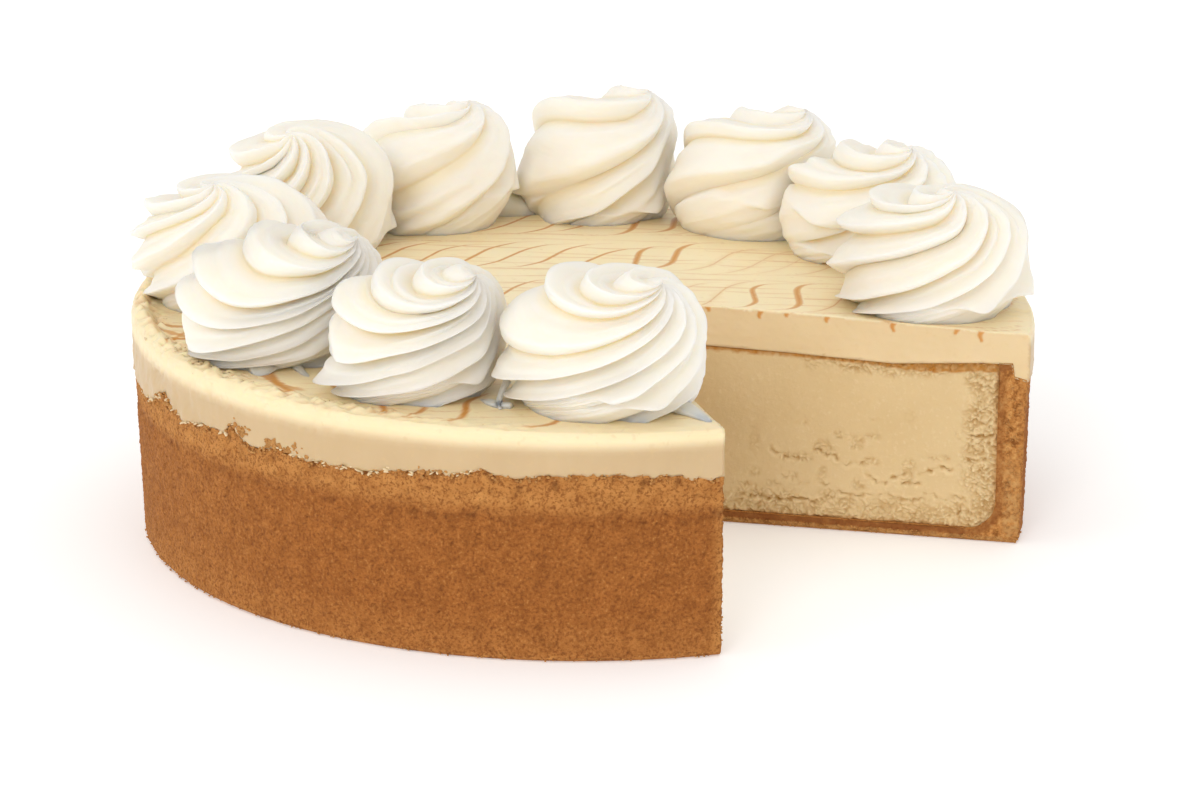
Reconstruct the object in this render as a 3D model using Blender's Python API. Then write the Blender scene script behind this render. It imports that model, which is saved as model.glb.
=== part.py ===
"""Caramel cheesecake with a crumb crust, a baked filling, a mousse top and ten
cream swirls. A slice of 60 degrees is missing from the round.

Metres, +Z up. The origin lies on the axis of the cake, on its flat underside.
The missing slice opens towards +X and -Y.
"""

import math
import random

import bmesh
import bpy
from mathutils import Vector

# Round of the cake
CUT_RIGHT_DEG = -13.25
MISSING_DEG = 60.0
ARC_STEPS = 60
GAP = 0.0003

# Crust
CRUST_FOOT_RADIUS = 0.1272
CRUST_TOP_RADIUS = 0.1284
CRUST_BASE = 0.0034
CRUST_WALL = 0.0080
CRUST_INNER_FILLET = 0.0084
CRUST_RIM_HEIGHT = 0.0482
CRUST_RIM_SWELL = 0.0026
CRUST_RIM_SWELL_DEG = 265.0
CRUST_RIM_SWELL_WIDTH_DEG = 38.0

# Filling, which sinks a little towards the middle of its radius
SEAT_CENTRE = 0.0530
SEAT_LOW = 0.0505
SEAT_LOW_RADIUS = 0.0900
SEAT_EDGE = 0.0524

# Mousse
MOUSSE_RADIUS = 0.1294
MOUSSE_CENTRE = 0.0650
MOUSSE_EDGE = 0.0633
MOUSSE_EDGE_RADIUS = 0.1190
MOUSSE_RIM_DROP = 0.0054
MOUSSE_TILT = 0.0016

# Cream swirls
RIDGE_SAMPLES = (0.0, 0.22, 0.44, 0.64, 0.84)
SWIRL_ROWS = 14
SWIRL_FOOT_RATIO = 0.80
SWIRL_WAIST_RATIO = 0.40
SWIRL_DOME_POWER = 2.55
SWIRL_SHIFT = 0.0030
RIDGE_DEPTH = 0.0060
RIDGE_CURL = 1.2

# One line for each swirl: angle on the ring in degrees, ring radius, half width along the ring,
# half width across the ring, height, lean direction in degrees, lean angle in degrees,
# number of ridges, turn of the ridges in degrees.
SWIRLS = (
    (-0.8, 0.0985, 0.0285, 0.0300, 0.0380, 292.0, 30.0, 7, 235.0),
    (34.5, 0.1005, 0.0285, 0.0280, 0.0358, 335.0, 34.0, 6, 205.0),
    (60.0, 0.1015, 0.0290, 0.0275, 0.0385, 10.0, 32.0, 6, 175.0),
    (88.6, 0.1030, 0.0275, 0.0262, 0.0405, 10.0, 32.0, 6, 150.0),
    (117.6, 0.1005, 0.0265, 0.0265, 0.0385, 10.0, 20.0, 6, 135.0),
    (144.8, 0.1005, 0.0275, 0.0275, 0.0405, 255.0, 34.0, 7, 205.0),
    (181.0, 0.1000, 0.0285, 0.0295, 0.0375, 250.0, 26.0, 7, 235.0),
    (213.0, 0.1000, 0.0285, 0.0295, 0.0375, 345.0, 50.0, 9, 250.0),
    (242.3, 0.0990, 0.0262, 0.0270, 0.0362, 335.0, 45.0, 8, 250.0),
    (272.6, 0.1000, 0.0286, 0.0278, 0.0388, 322.0, 42.0, 8, 245.0),
)


def clear_scene():
    for item in list(bpy.data.objects):
        bpy.data.objects.remove(item, do_unlink=True)


def lerp_knots(knots, value):
    """Piecewise linear height over (radius, height) knots."""
    if value <= knots[0][0]:
        return knots[0][1]
    for (r0, z0), (r1, z1) in zip(knots, knots[1:]):
        if value <= r1:
            return z0 + (z1 - z0) * (value - r0) / (r1 - r0)
    return knots[-1][1]


def rim_height(angle):
    """Height of the outer top edge of the crust, a little higher at the front."""
    off = math.degrees(angle) - CRUST_RIM_SWELL_DEG
    off = (off + 180.0) % 360.0 - 180.0
    swell = CRUST_RIM_SWELL * math.exp(-(off / CRUST_RIM_SWELL_WIDTH_DEG) ** 2)
    ripple = 0.0004 * math.sin(7 * angle + 0.6) + 0.0003 * math.sin(13 * angle + 2.0)
    return CRUST_RIM_HEIGHT + swell + ripple


def seat_height(radius):
    """Height of the baked top that the mousse lies on."""
    knots = ((0.0, SEAT_CENTRE), (0.060, 0.5 * (SEAT_CENTRE + SEAT_LOW)),
             (SEAT_LOW_RADIUS, SEAT_LOW), (0.116, SEAT_EDGE), (0.1232, SEAT_EDGE))
    return lerp_knots(knots, radius)


def top_height(x, y):
    """Height of the mousse top, with its rounded rim and its slight tilt."""
    mid = 0.5 * (MOUSSE_CENTRE + MOUSSE_EDGE) + 0.0003
    knots = ((0.0, MOUSSE_CENTRE), (0.070, mid), (MOUSSE_EDGE_RADIUS, MOUSSE_EDGE),
             (0.1244, MOUSSE_EDGE - 0.12 * MOUSSE_RIM_DROP),
             (0.1280, MOUSSE_EDGE - 0.42 * MOUSSE_RIM_DROP),
             (MOUSSE_RADIUS, MOUSSE_EDGE - MOUSSE_RIM_DROP))
    return lerp_knots(knots, math.hypot(x, y)) - MOUSSE_TILT * x / 0.127


def arc_angles():
    start = math.radians(CUT_RIGHT_DEG)
    sweep = math.radians(360.0 - MISSING_DEG)
    return [start + sweep * i / ARC_STEPS for i in range(ARC_STEPS + 1)]


def make_material(name, color, roughness):
    material = bpy.data.materials.new(name)
    material.use_nodes = True
    shader = material.node_tree.nodes["Principled BSDF"]
    shader.inputs["Base Color"].default_value = (*color, 1.0)
    shader.inputs["Roughness"].default_value = roughness
    shader.inputs["Metallic"].default_value = 0.0
    material.diffuse_color = (*color, 1.0)
    return material


def add_object(name, mesh_builder, material, parent):
    """Write a bmesh to a named object with outward faces."""
    mesh_builder.normal_update()
    bmesh.ops.triangulate(mesh_builder, faces=mesh_builder.faces[:], ngon_method="EAR_CLIP")
    bmesh.ops.recalc_face_normals(mesh_builder, faces=mesh_builder.faces[:])
    mesh = bpy.data.meshes.new(name)
    mesh_builder.to_mesh(mesh)
    mesh_builder.free()
    mesh.materials.append(material)
    item = bpy.data.objects.new(name, mesh)
    bpy.context.scene.collection.objects.link(item)
    item.parent = parent
    return item


def sector(profile_at):
    """Close a ring sector from a profile that starts and ends on the axis."""
    body = bmesh.new()
    angles = arc_angles()
    first = profile_at(angles[0])
    foot = body.verts.new((0.0, 0.0, first[0][1]))
    head = body.verts.new((0.0, 0.0, first[-1][1]))
    rings = []
    for angle in angles:
        ring = [foot]
        for radius, height in profile_at(angle)[1:-1]:
            place = (radius * math.cos(angle), radius * math.sin(angle), height)
            ring.append(body.verts.new(place))
        ring.append(head)
        rings.append(ring)
    for left, right in zip(rings, rings[1:]):
        for k in range(len(left) - 1):
            corners = [left[k], left[k + 1], right[k + 1], right[k]]
            unique = []
            for corner in corners:
                if corner not in unique:
                    unique.append(corner)
            body.faces.new(unique)
    body.faces.new(rings[0])
    body.faces.new(list(reversed(rings[-1])))
    return body


def crust_profile(angle):
    inner = CRUST_TOP_RADIUS - CRUST_WALL
    fillet = CRUST_INNER_FILLET
    rim = rim_height(angle)
    return [
        (0.0, 0.0),
        (CRUST_FOOT_RADIUS - 0.0010, 0.0),
        (CRUST_FOOT_RADIUS, 0.0012),
        (CRUST_TOP_RADIUS, rim),
        (0.1232, seat_height(0.1232)),
        (inner, seat_height(inner)),
        (inner, CRUST_BASE + fillet),
        (inner - 0.29 * fillet, CRUST_BASE + 0.29 * fillet),
        (inner - fillet, CRUST_BASE),
        (0.0, CRUST_BASE),
    ]


def filling_profile(angle):
    inner = CRUST_TOP_RADIUS - CRUST_WALL - GAP
    fillet = CRUST_INNER_FILLET
    base = CRUST_BASE + GAP
    return [
        (0.0, base),
        (inner - fillet, base),
        (inner - 0.29 * fillet, base + 0.29 * fillet),
        (inner, base + fillet),
        (inner, seat_height(inner)),
        (0.116, seat_height(0.116)),
        (SEAT_LOW_RADIUS, seat_height(SEAT_LOW_RADIUS)),
        (0.060, seat_height(0.060)),
        (0.0, SEAT_CENTRE),
    ]


def mousse_profile(angle):
    rim = rim_height(angle) + GAP
    profile = [(0.0, SEAT_CENTRE + GAP)]
    for radius in (0.060, SEAT_LOW_RADIUS, 0.116, 0.1232):
        profile.append((radius, seat_height(radius) + GAP))
    profile.append((CRUST_TOP_RADIUS, rim))
    profile.append((MOUSSE_RADIUS, rim))
    for radius in (MOUSSE_RADIUS, 0.1280, 0.1244, MOUSSE_EDGE_RADIUS, 0.070):
        height = top_height(radius * math.cos(angle), radius * math.sin(angle))
        profile.append((radius, height))
    profile.append((0.0, MOUSSE_CENTRE))
    return profile


def ridge_wave(t):
    """Ridge section over one pitch: a long hollow facet up to a crest, then a short underside."""
    crest = RIDGE_SAMPLES[3]
    if t <= crest:
        return (t / crest) ** 1.4
    return 1.0 - ((t - crest) / (1.0 - crest)) ** 1.3


def ridge_envelope(s):
    """Ridge depth from the foot (s = 0) to the pole (s = 1)."""
    return min(1.0, 0.80 + 2.5 * s) * min(1.0, (1.0 - s) / 0.28) ** 0.80


def slerp(a, b, s):
    angle = a.angle(b)
    if angle < 1e-6:
        return a.copy()
    return (a * math.sin((1.0 - s) * angle) + b * math.sin(s * angle)) / math.sin(angle)


def dome_reach(direction, waist, crown):
    """Distance to the dome of unit half width along a direction."""
    flat = math.hypot(direction.x, direction.y)
    power = SWIRL_DOME_POWER
    if direction.z >= 0.0:
        tall = crown
    else:
        tall = waist / (1.0 - SWIRL_FOOT_RATIO ** power) ** (1.0 / power)
    return (flat ** power + (abs(direction.z) / tall) ** power) ** (-1.0 / power)


def swirl_limits(index):
    """Half planes, as normal and offset, that keep a swirl clear of its neighbours."""
    here = swirl_place(index)
    limits = []
    for other in (index - 1, index + 1):
        if 0 <= other < len(SWIRLS):
            away = swirl_place(other) - here
            share = SWIRLS[index][2] / (SWIRLS[index][2] + SWIRLS[other][2])
            limits.append((away.normalized(), away.length * share - 0.5 * GAP))
    return limits


def swirl_place(index):
    angle = math.radians(SWIRLS[index][0])
    radius = SWIRLS[index][1]
    return Vector((radius * math.cos(angle), radius * math.sin(angle), 0.0))


def press_back(point, limits):
    """Ease a point back from the planes it would cross."""
    soft = 0.0025
    for normal, offset in limits:
        depth = point.x * normal.x + point.y * normal.y
        over = depth - (offset - soft)
        if over > 0.0:
            kept = offset - soft + soft * (1.0 - math.exp(-over / soft))
            point = point + normal * (kept - depth)
    return point


def swirl_body(index):
    spec = SWIRLS[index]
    place_angle = math.radians(spec[0])
    half_along, half_across, height = spec[2], spec[3], spec[4]
    lean_way, lean = math.radians(spec[5]), math.radians(spec[6])
    ridges, turn = spec[7], math.radians(spec[8])
    rng = random.Random(40 + index)
    widths = [rng.uniform(0.66, 1.34) for _ in range(ridges)]
    depths = [RIDGE_DEPTH * rng.uniform(0.75, 1.15) for _ in range(ridges)]
    phase = rng.uniform(0.0, 2.0 * math.pi)
    waist = SWIRL_WAIST_RATIO * height
    place = swirl_place(index)
    limits = swirl_limits(index)
    mean = 0.5 * (half_along + half_across)
    radial = Vector((math.cos(place_angle), math.sin(place_angle), 0.0))
    tangent = Vector((-radial.y, radial.x, 0.0))
    pole = Vector((math.sin(lean) * math.cos(lean_way), math.sin(lean) * math.sin(lean_way),
                   math.cos(lean)))
    foot_dip = -waist / mean
    crown = (height - waist) / mean
    columns = []
    start = phase
    for ridge in range(ridges):
        span = 2.0 * math.pi * widths[ridge] / sum(widths)
        for t in RIDGE_SAMPLES:
            columns.append((start + span * t, ridge_wave(t), depths[ridge]))
        start += span

    def surface(column, s):
        along, wave, depth = column
        theta = along + turn * s * (1.0 - 0.25 * s * s) + RIDGE_CURL * s ** 5
        foot = Vector((SWIRL_FOOT_RATIO * math.cos(theta), SWIRL_FOOT_RATIO * math.sin(theta),
                       foot_dip)).normalized()
        way = slerp(foot, pole, s)
        reach = dome_reach(way, waist / mean, crown)
        flat = Vector((way.x * reach, way.y * reach, 0.0))
        push = Vector((way.x, way.y, max(way.z, 0.0))).normalized()
        out = depth * ridge_envelope(s) * (wave - 1.0)
        across = flat.dot(radial) * half_across
        sideways = flat.dot(tangent) * half_along
        point = radial * across + tangent * sideways
        point = point + push * out
        lift = waist + way.z * reach * mean
        point += Vector((pole.x, pole.y, 0.0)).normalized() * SWIRL_SHIFT * (max(lift, 0.0) / height) ** 1.5
        point = press_back(Vector((point.x, point.y, 0.0)), limits)
        spot = place + point
        reach_out = math.hypot(spot.x, spot.y)
        if reach_out > MOUSSE_RADIUS - 0.0004:
            spot = spot * ((MOUSSE_RADIUS - 0.0004) / reach_out)
        low = top_height(*clip_to_top(spot))
        mid = top_height(place.x, place.y)
        blend = math.exp(-max(lift, 0.0) / 0.006)
        base = low * blend + mid * (1.0 - blend) + GAP
        return (spot.x, spot.y, base + max(lift, 0.0) + push.z * out)

    body = bmesh.new()
    rows = []
    for row in range(SWIRL_ROWS):
        s = (row / SWIRL_ROWS) ** 1.05
        rows.append([body.verts.new(surface(column, s)) for column in columns])
    tip_point = surface((0.0, 1.0, 0.0), 0.9999)
    tip = body.verts.new(tip_point)
    under = body.verts.new((place.x, place.y, top_height(place.x, place.y) + GAP))
    count = len(columns)
    for lower, upper in zip(rows, rows[1:]):
        for k in range(count):
            n = (k + 1) % count
            body.faces.new((lower[k], lower[n], upper[k]))
            body.faces.new((lower[n], upper[n], upper[k]))
    for k in range(count):
        n = (k + 1) % count
        body.faces.new((rows[-1][k], rows[-1][n], tip))
        body.faces.new((rows[0][n], rows[0][k], under))
    return body


def clip_to_top(spot):
    """Nearest place on the flat part of the mousse top."""
    reach = math.hypot(spot.x, spot.y)
    limit = MOUSSE_EDGE_RADIUS
    scale = min(1.0, limit / reach)
    return spot.x * scale, spot.y * scale


def build():
    clear_scene()
    cake = bpy.data.objects.new("cheesecake", None)
    bpy.context.scene.collection.objects.link(cake)
    crumb = make_material("crumb_crust", (0.48, 0.235, 0.075), 0.85)
    baked = make_material("baked_filling", (0.70, 0.49, 0.24), 0.55)
    pale = make_material("caramel_mousse", (0.83, 0.66, 0.37), 0.42)
    cream = make_material("whipped_cream", (0.93, 0.89, 0.80), 0.45)
    add_object("crust", sector(crust_profile), crumb, cake)
    add_object("filling", sector(filling_profile), baked, cake)
    add_object("mousse", sector(mousse_profile), pale, cake)
    for index in range(len(SWIRLS)):
        add_object(f"swirl_{index + 1:02d}", swirl_body(index), cream, cake)


build()
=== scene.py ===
"""Looks of the caramel cheesecake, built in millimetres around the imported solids."""
import math
import random

import bpy
import numpy as np
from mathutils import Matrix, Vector
from mathutils.geometry import delaunay_2d_cdt
from mathutils.kdtree import KDTree


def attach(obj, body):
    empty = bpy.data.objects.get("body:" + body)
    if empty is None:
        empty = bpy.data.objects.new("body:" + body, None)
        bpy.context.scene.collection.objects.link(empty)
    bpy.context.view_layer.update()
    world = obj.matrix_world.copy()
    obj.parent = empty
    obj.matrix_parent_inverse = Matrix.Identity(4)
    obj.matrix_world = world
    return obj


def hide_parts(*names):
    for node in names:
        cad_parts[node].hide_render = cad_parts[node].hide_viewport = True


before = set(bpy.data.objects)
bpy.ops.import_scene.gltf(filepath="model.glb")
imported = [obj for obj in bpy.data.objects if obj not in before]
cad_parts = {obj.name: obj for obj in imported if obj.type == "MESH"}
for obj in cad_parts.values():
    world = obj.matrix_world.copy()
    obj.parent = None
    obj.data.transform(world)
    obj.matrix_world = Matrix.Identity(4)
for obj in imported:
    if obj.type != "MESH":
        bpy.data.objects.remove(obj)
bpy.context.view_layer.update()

MM = 0.001

# Sizes, in millimetres
CUT_A = math.radians(-13.25)
SWEEP = math.radians(300.0)
CRUST_TOP_R = 128.4
CRUST_BASE = 3.4
CRUST_WALL = 8.0
CRUST_INNER_R = CRUST_TOP_R - CRUST_WALL
FILLET = 8.4
LAYER_GAP = 0.05
MOUSSE_R = 129.2
MOUSSE_FOOT = 53.1
TOP_CENTRE = 65.0
TOP_R = 112.0
TILT = 1.6
SWIRL_LIMIT_R = 129.25
CRUMB_LIMIT_R = 129.3
SWIRL_LIMIT_Z = 105.3

# Columns of points round the cake
CRUST_COLUMNS = 820
FILLING_COLUMNS = 60
MOUSSE_COLUMNS = 760


# Noise
def lattice(ix, iy, iz, seed):
    h = (ix * 374761393 + iy * 668265263 + iz * 2147483647 + seed * 1274126177) & 0xFFFFFFFF
    h = ((h ^ (h >> 13)) * 1274126177) & 0xFFFFFFFF
    h = h ^ (h >> 16)
    return h / 4294967295.0


def noise3(p, seed=0):
    """Smooth value noise in -1..1 at points (n, 3)."""
    cell = np.floor(p).astype(np.int64)
    f = p - cell
    f = f * f * (3.0 - 2.0 * f)
    total = np.zeros(len(p))
    for dx in (0, 1):
        wx = f[:, 0] if dx else 1.0 - f[:, 0]
        for dy in (0, 1):
            wy = f[:, 1] if dy else 1.0 - f[:, 1]
            for dz in (0, 1):
                wz = f[:, 2] if dz else 1.0 - f[:, 2]
                total += wx * wy * wz * lattice(cell[:, 0] + dx, cell[:, 1] + dy, cell[:, 2] + dz, seed)
    return total * 2.0 - 1.0


def fbm(p, octaves=3, seed=0):
    total = np.zeros(len(p))
    amp, scale, norm = 1.0, 1.0, 0.0
    for k in range(octaves):
        total += amp * noise3(p * scale, seed + 17 * k)
        norm += amp
        amp *= 0.5
        scale *= 2.03
    return total / norm


def noise_shift(p, seed, step=1):
    """Three noises side by side, to shift points by."""
    return np.stack([noise3(p, seed + step * k) for k in range(3)], -1)


def worley(p, seed=0):
    """Distance to the nearest cell point, and that cell's own number."""
    cell = np.floor(p).astype(np.int64)
    nearest = np.full(len(p), 9.0)
    tag = np.zeros(len(p))
    for dx in (-1, 0, 1):
        for dy in (-1, 0, 1):
            for dz in (-1, 0, 1):
                cx, cy, cz = cell[:, 0] + dx, cell[:, 1] + dy, cell[:, 2] + dz
                qx = cx + lattice(cx, cy, cz, seed + 1)
                qy = cy + lattice(cx, cy, cz, seed + 2)
                qz = cz + lattice(cx, cy, cz, seed + 3)
                d = np.sqrt((p[:, 0] - qx) ** 2 + (p[:, 1] - qy) ** 2 + (p[:, 2] - qz) ** 2)
                near = d < nearest
                tag = np.where(near, lattice(cx, cy, cz, seed + 4), tag)
                nearest = np.where(near, d, nearest)
    return nearest, tag


def ease(lo, hi, x):
    """0 at lo, 1 at hi and smooth between them; lo may be the larger."""
    t = np.clip((x - lo) / (hi - lo), 0.0, 1.0)
    return t * t * (3.0 - 2.0 * t)


def bump(x, centre, width):
    """1 at the centre, falling off to both sides."""
    return np.exp(-((x - centre) / width) ** 2)


def angle_gap(deg, centre):
    """Degrees from a centre, between -180 and 180."""
    return (deg - centre + 180.0) % 360.0 - 180.0


def near_angle(deg, centre, inner, outer):
    """1 within inner degrees of a centre, falling to 0 at outer degrees."""
    return ease(outer, inner, np.abs(angle_gap(deg, centre)))


# Heights shared by the layers
def rim_height(angle):
    """Height of the crust's rim round the cake, highest near the front."""
    deg = np.degrees(angle)
    off = angle_gap(deg, 265.0)
    ripple = 0.4 * np.sin(7 * angle + 0.6) + 0.3 * np.sin(13 * angle + 2.0)
    return 48.2 + 2.6 * np.exp(-(off / 38.0) ** 2) + ripple


# Tears of the mousse's lower edge: angle, width and rise
RIM_TEARS = ((-154.0, 3.0, 4.0), (-147.5, 2.0, -1.2), (-137.0, 1.3, 3.0), (-128.6, 1.3, 2.0),
             (-101.8, 1.4, 1.7), (-133.0, 1.5, -0.8), (-116.0, 4.0, -0.8), (-89.0, 5.0, 0.8),
             (-161.0, 3.0, -1.5), (100.0, 6.0, 1.4), (60.0, 4.0, -1.2), (140.0, 5.0, 1.5))


def rim_line(angle):
    """The torn line where the mousse ends over the crust, seen from outside."""
    deg = np.degrees(angle)
    line = rim_height(angle) + 0.25
    for centre, width, rise in RIM_TEARS:
        line = line + rise * bump(angle_gap(deg, centre), 0.0, width)
    flat = np.stack([np.cos(angle) * 60.0, np.sin(angle) * 60.0, angle * 0.0], -1)
    return line + 0.60 * fbm(flat, 3, 5) + 0.45 * noise3(flat * 1.4, 9)


def seat_height(radius):
    """Height of the filling's top, where the mousse sits."""
    return np.interp(radius, [0.0, 60.0, 90.0, 116.0, 123.2], [53.0, 51.75, 50.5, 52.4, 52.4])


def top_height(x, y):
    """Height of the mousse's top, a low dome that tilts down towards +X."""
    r = np.hypot(x, y)
    z = np.interp(r, [0.0, 70.0, 119.0, 124.4, 128.0, 129.4], [TOP_CENTRE, 64.45, 63.3, 62.65, 61.0, 57.9])
    return z - TILT * x / 127.0


# Meshes
def unit(v):
    return v / np.maximum(np.linalg.norm(v, axis=-1, keepdims=True), 1e-12)


def angle_room(angle, mark):
    """Radians between an angle and a mark, never negative."""
    return np.abs((angle - mark + math.pi) % (2.0 * math.pi) - math.pi)


def keep_round(verts, limit):
    """Pull every point in to a limit of radius, in place."""
    reach = np.hypot(verts[:, 0], verts[:, 1])
    scale = np.where(reach > limit, limit / np.maximum(reach, 1e-9), 1.0)
    verts[:, 0] *= scale
    verts[:, 1] *= scale


def tree_of(points):
    """A search tree over the first two numbers of every point."""
    tree = KDTree(len(points))
    for k, point in enumerate(points):
        tree.insert((point[0], point[1], 0.0), k)
    tree.balance()
    return tree


def clear_of(points, others, room):
    """The points that stay more than room away from all the others."""
    tree = tree_of(others)
    return points[np.array([tree.find((q[0], q[1], 0.0))[2] > room for q in points], dtype=bool)]


def subdivided(path, counts):
    """Rows along a path of (radius, height) points, with the number of steps on each stretch."""
    rows = [np.array(path[0])]
    for a, b, n in zip(path, path[1:], counts):
        a, b = np.array(a), np.array(b)
        rows += [a + (b - a) * k / n for k in range(1, n + 1)]
    return np.array(rows)


def spline(knots, steps):
    """A smooth curve through the knots with steps points from each to the next, and their places."""
    place = np.linspace(0.0, len(knots) - 1.0, steps * (len(knots) - 1) + 1)
    index = np.clip(place.astype(int), 0, len(knots) - 2)
    t = (place - index)[:, None]
    before, after = knots[np.maximum(index - 1, 0)], knots[np.minimum(index + 2, len(knots) - 1)]
    here, there = knots[index], knots[index + 1]
    bend = 2 * before - 5 * here + 4 * there - after
    twist = 3 * here - before - 3 * there + after
    return 0.5 * (2 * here + (there - before) * t + bend * t ** 2 + twist * t ** 3), place


def tube_faces(rows, cols, foot, head):
    """Triangles of a tube of rows by cols points, closed by the points foot and head."""
    grid = np.arange(rows * cols).reshape(rows, cols)
    nxt = np.roll(grid, -1, 1)
    a, b, c, d = grid[:-1], nxt[:-1], nxt[1:], grid[1:]
    tris = [np.stack([a, b, c], -1).reshape(-1, 3), np.stack([a, c, d], -1).reshape(-1, 3)]
    tris.append(np.stack([grid[-1], nxt[-1], np.full(cols, head)], -1))
    tris.append(np.stack([nxt[0], grid[0], np.full(cols, foot)], -1))
    return np.concatenate(tris)


def tri_normals(verts, tris):
    a, b, c = verts[tris[:, 0]], verts[tris[:, 1]], verts[tris[:, 2]]
    n = np.cross(b - a, c - a)
    out = np.zeros_like(verts)
    for k in range(3):
        np.add.at(out, tris[:, k], n)
    size = np.linalg.norm(out, axis=1, keepdims=True)
    return out / np.maximum(size, 1e-12)


def make_piece(name, verts, tris, material, nodes=(), marks=None):
    """A mesh piece from millimetre points and triangles, riding on the cake's one body."""
    mesh = bpy.data.meshes.new(name)
    mesh.vertices.add(len(verts))
    mesh.vertices.foreach_set("co", (verts * MM).astype(np.float32).ravel())
    mesh.loops.add(len(tris) * 3)
    mesh.loops.foreach_set("vertex_index", tris.astype(np.int32).ravel())
    mesh.polygons.add(len(tris))
    mesh.polygons.foreach_set("loop_start", np.arange(0, len(tris) * 3, 3, dtype=np.int32))
    mesh.polygons.foreach_set("loop_total", np.full(len(tris), 3, dtype=np.int32))
    mesh.polygons.foreach_set("use_smooth", np.ones(len(tris), dtype=bool))
    mesh.update(calc_edges=True)
    mesh.validate()
    for mark, values in (marks or {}).items():
        layer = mesh.color_attributes.new(mark, "FLOAT_COLOR", "POINT")
        values = np.asarray(values, dtype=np.float32)
        rgba = np.ones((len(verts), 4), dtype=np.float32)
        rgba[:, :3] = values[:, None] if values.ndim == 1 else values
        layer.data.foreach_set("color", rgba.ravel())
    mesh.materials.append(material)
    piece = bpy.data.objects.new(name, mesh)
    bpy.context.scene.collection.objects.link(piece)
    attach(piece, "root")
    if nodes:
        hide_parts(*nodes)
    return piece


def fill_polygon(loop, inner, flip):
    """Triangles over a 2-D loop with free points inside it; indices run over loop then inner."""
    count = len(loop)
    points = [Vector((float(a), float(b))) for a, b in list(loop) + list(inner)]
    edges = [(k, (k + 1) % count) for k in range(count)]
    got = delaunay_2d_cdt(points, edges, [], 1, 1e-7)
    origin = [o[0] if o else -1 for o in got[3]]
    tris = []
    for face in got[2]:
        ids = [origin[v] for v in face]
        if min(ids) < 0 or len(set(ids)) < 3:
            continue
        a, b, c = (points[i] for i in ids)
        turn = (b.x - a.x) * (c.y - a.y) - (b.y - a.y) * (c.x - a.x)
        if (turn < 0.0) != flip:
            ids = ids[::-1]
        tris.append(ids)
    return np.array(tris, dtype=np.int64)


def inside_loop(points, loop):
    x, y = points[:, 0], points[:, 1]
    inside = np.zeros(len(points), dtype=bool)
    j = len(loop) - 1
    for i in range(len(loop)):
        xi, yi = loop[i]
        xj, yj = loop[j]
        if yi != yj:
            cross = ((yi > y) != (yj > y)) & (x < (xj - xi) * (y - yi) / (yj - yi) + xi)
            inside ^= cross
        j = i
    return inside


def scatter_inside(loop, spacing, margin, seed):
    """Jittered hexagonal points inside a loop, kept a margin away from it."""
    loop = np.asarray(loop)
    rng = np.random.default_rng(seed)
    lo, hi = loop.min(0), loop.max(0)
    pts = []
    for k, y in enumerate(np.arange(lo[1], hi[1], spacing * 0.87)):
        xs = np.arange(lo[0] + (k % 2) * spacing * 0.5, hi[0], spacing)
        pts.append(np.stack([xs, np.full(len(xs), y)], -1))
    pts = np.concatenate(pts)
    pts = pts + rng.uniform(-0.22, 0.22, pts.shape) * spacing
    pts = pts[inside_loop(pts, loop)]
    edge = []
    for a, b in zip(loop, np.roll(loop, -1, 0)):
        steps = max(1, int(np.linalg.norm(b - a) / (margin * 0.8)))
        edge += [a + (b - a) * t / steps for t in range(steps)]
    return clear_of(pts, edge, margin)


def even_points(spacing, seed):
    def points(loop, side):
        return scatter_inside(loop, spacing, spacing * 0.55, seed + side)
    return points


def spun(flat, cos, sin):
    """Points of (radius, height) pairs turned round the axis."""
    return np.stack([flat[..., 0] * cos, flat[..., 0] * sin, flat[..., 1]], -1)


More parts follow.
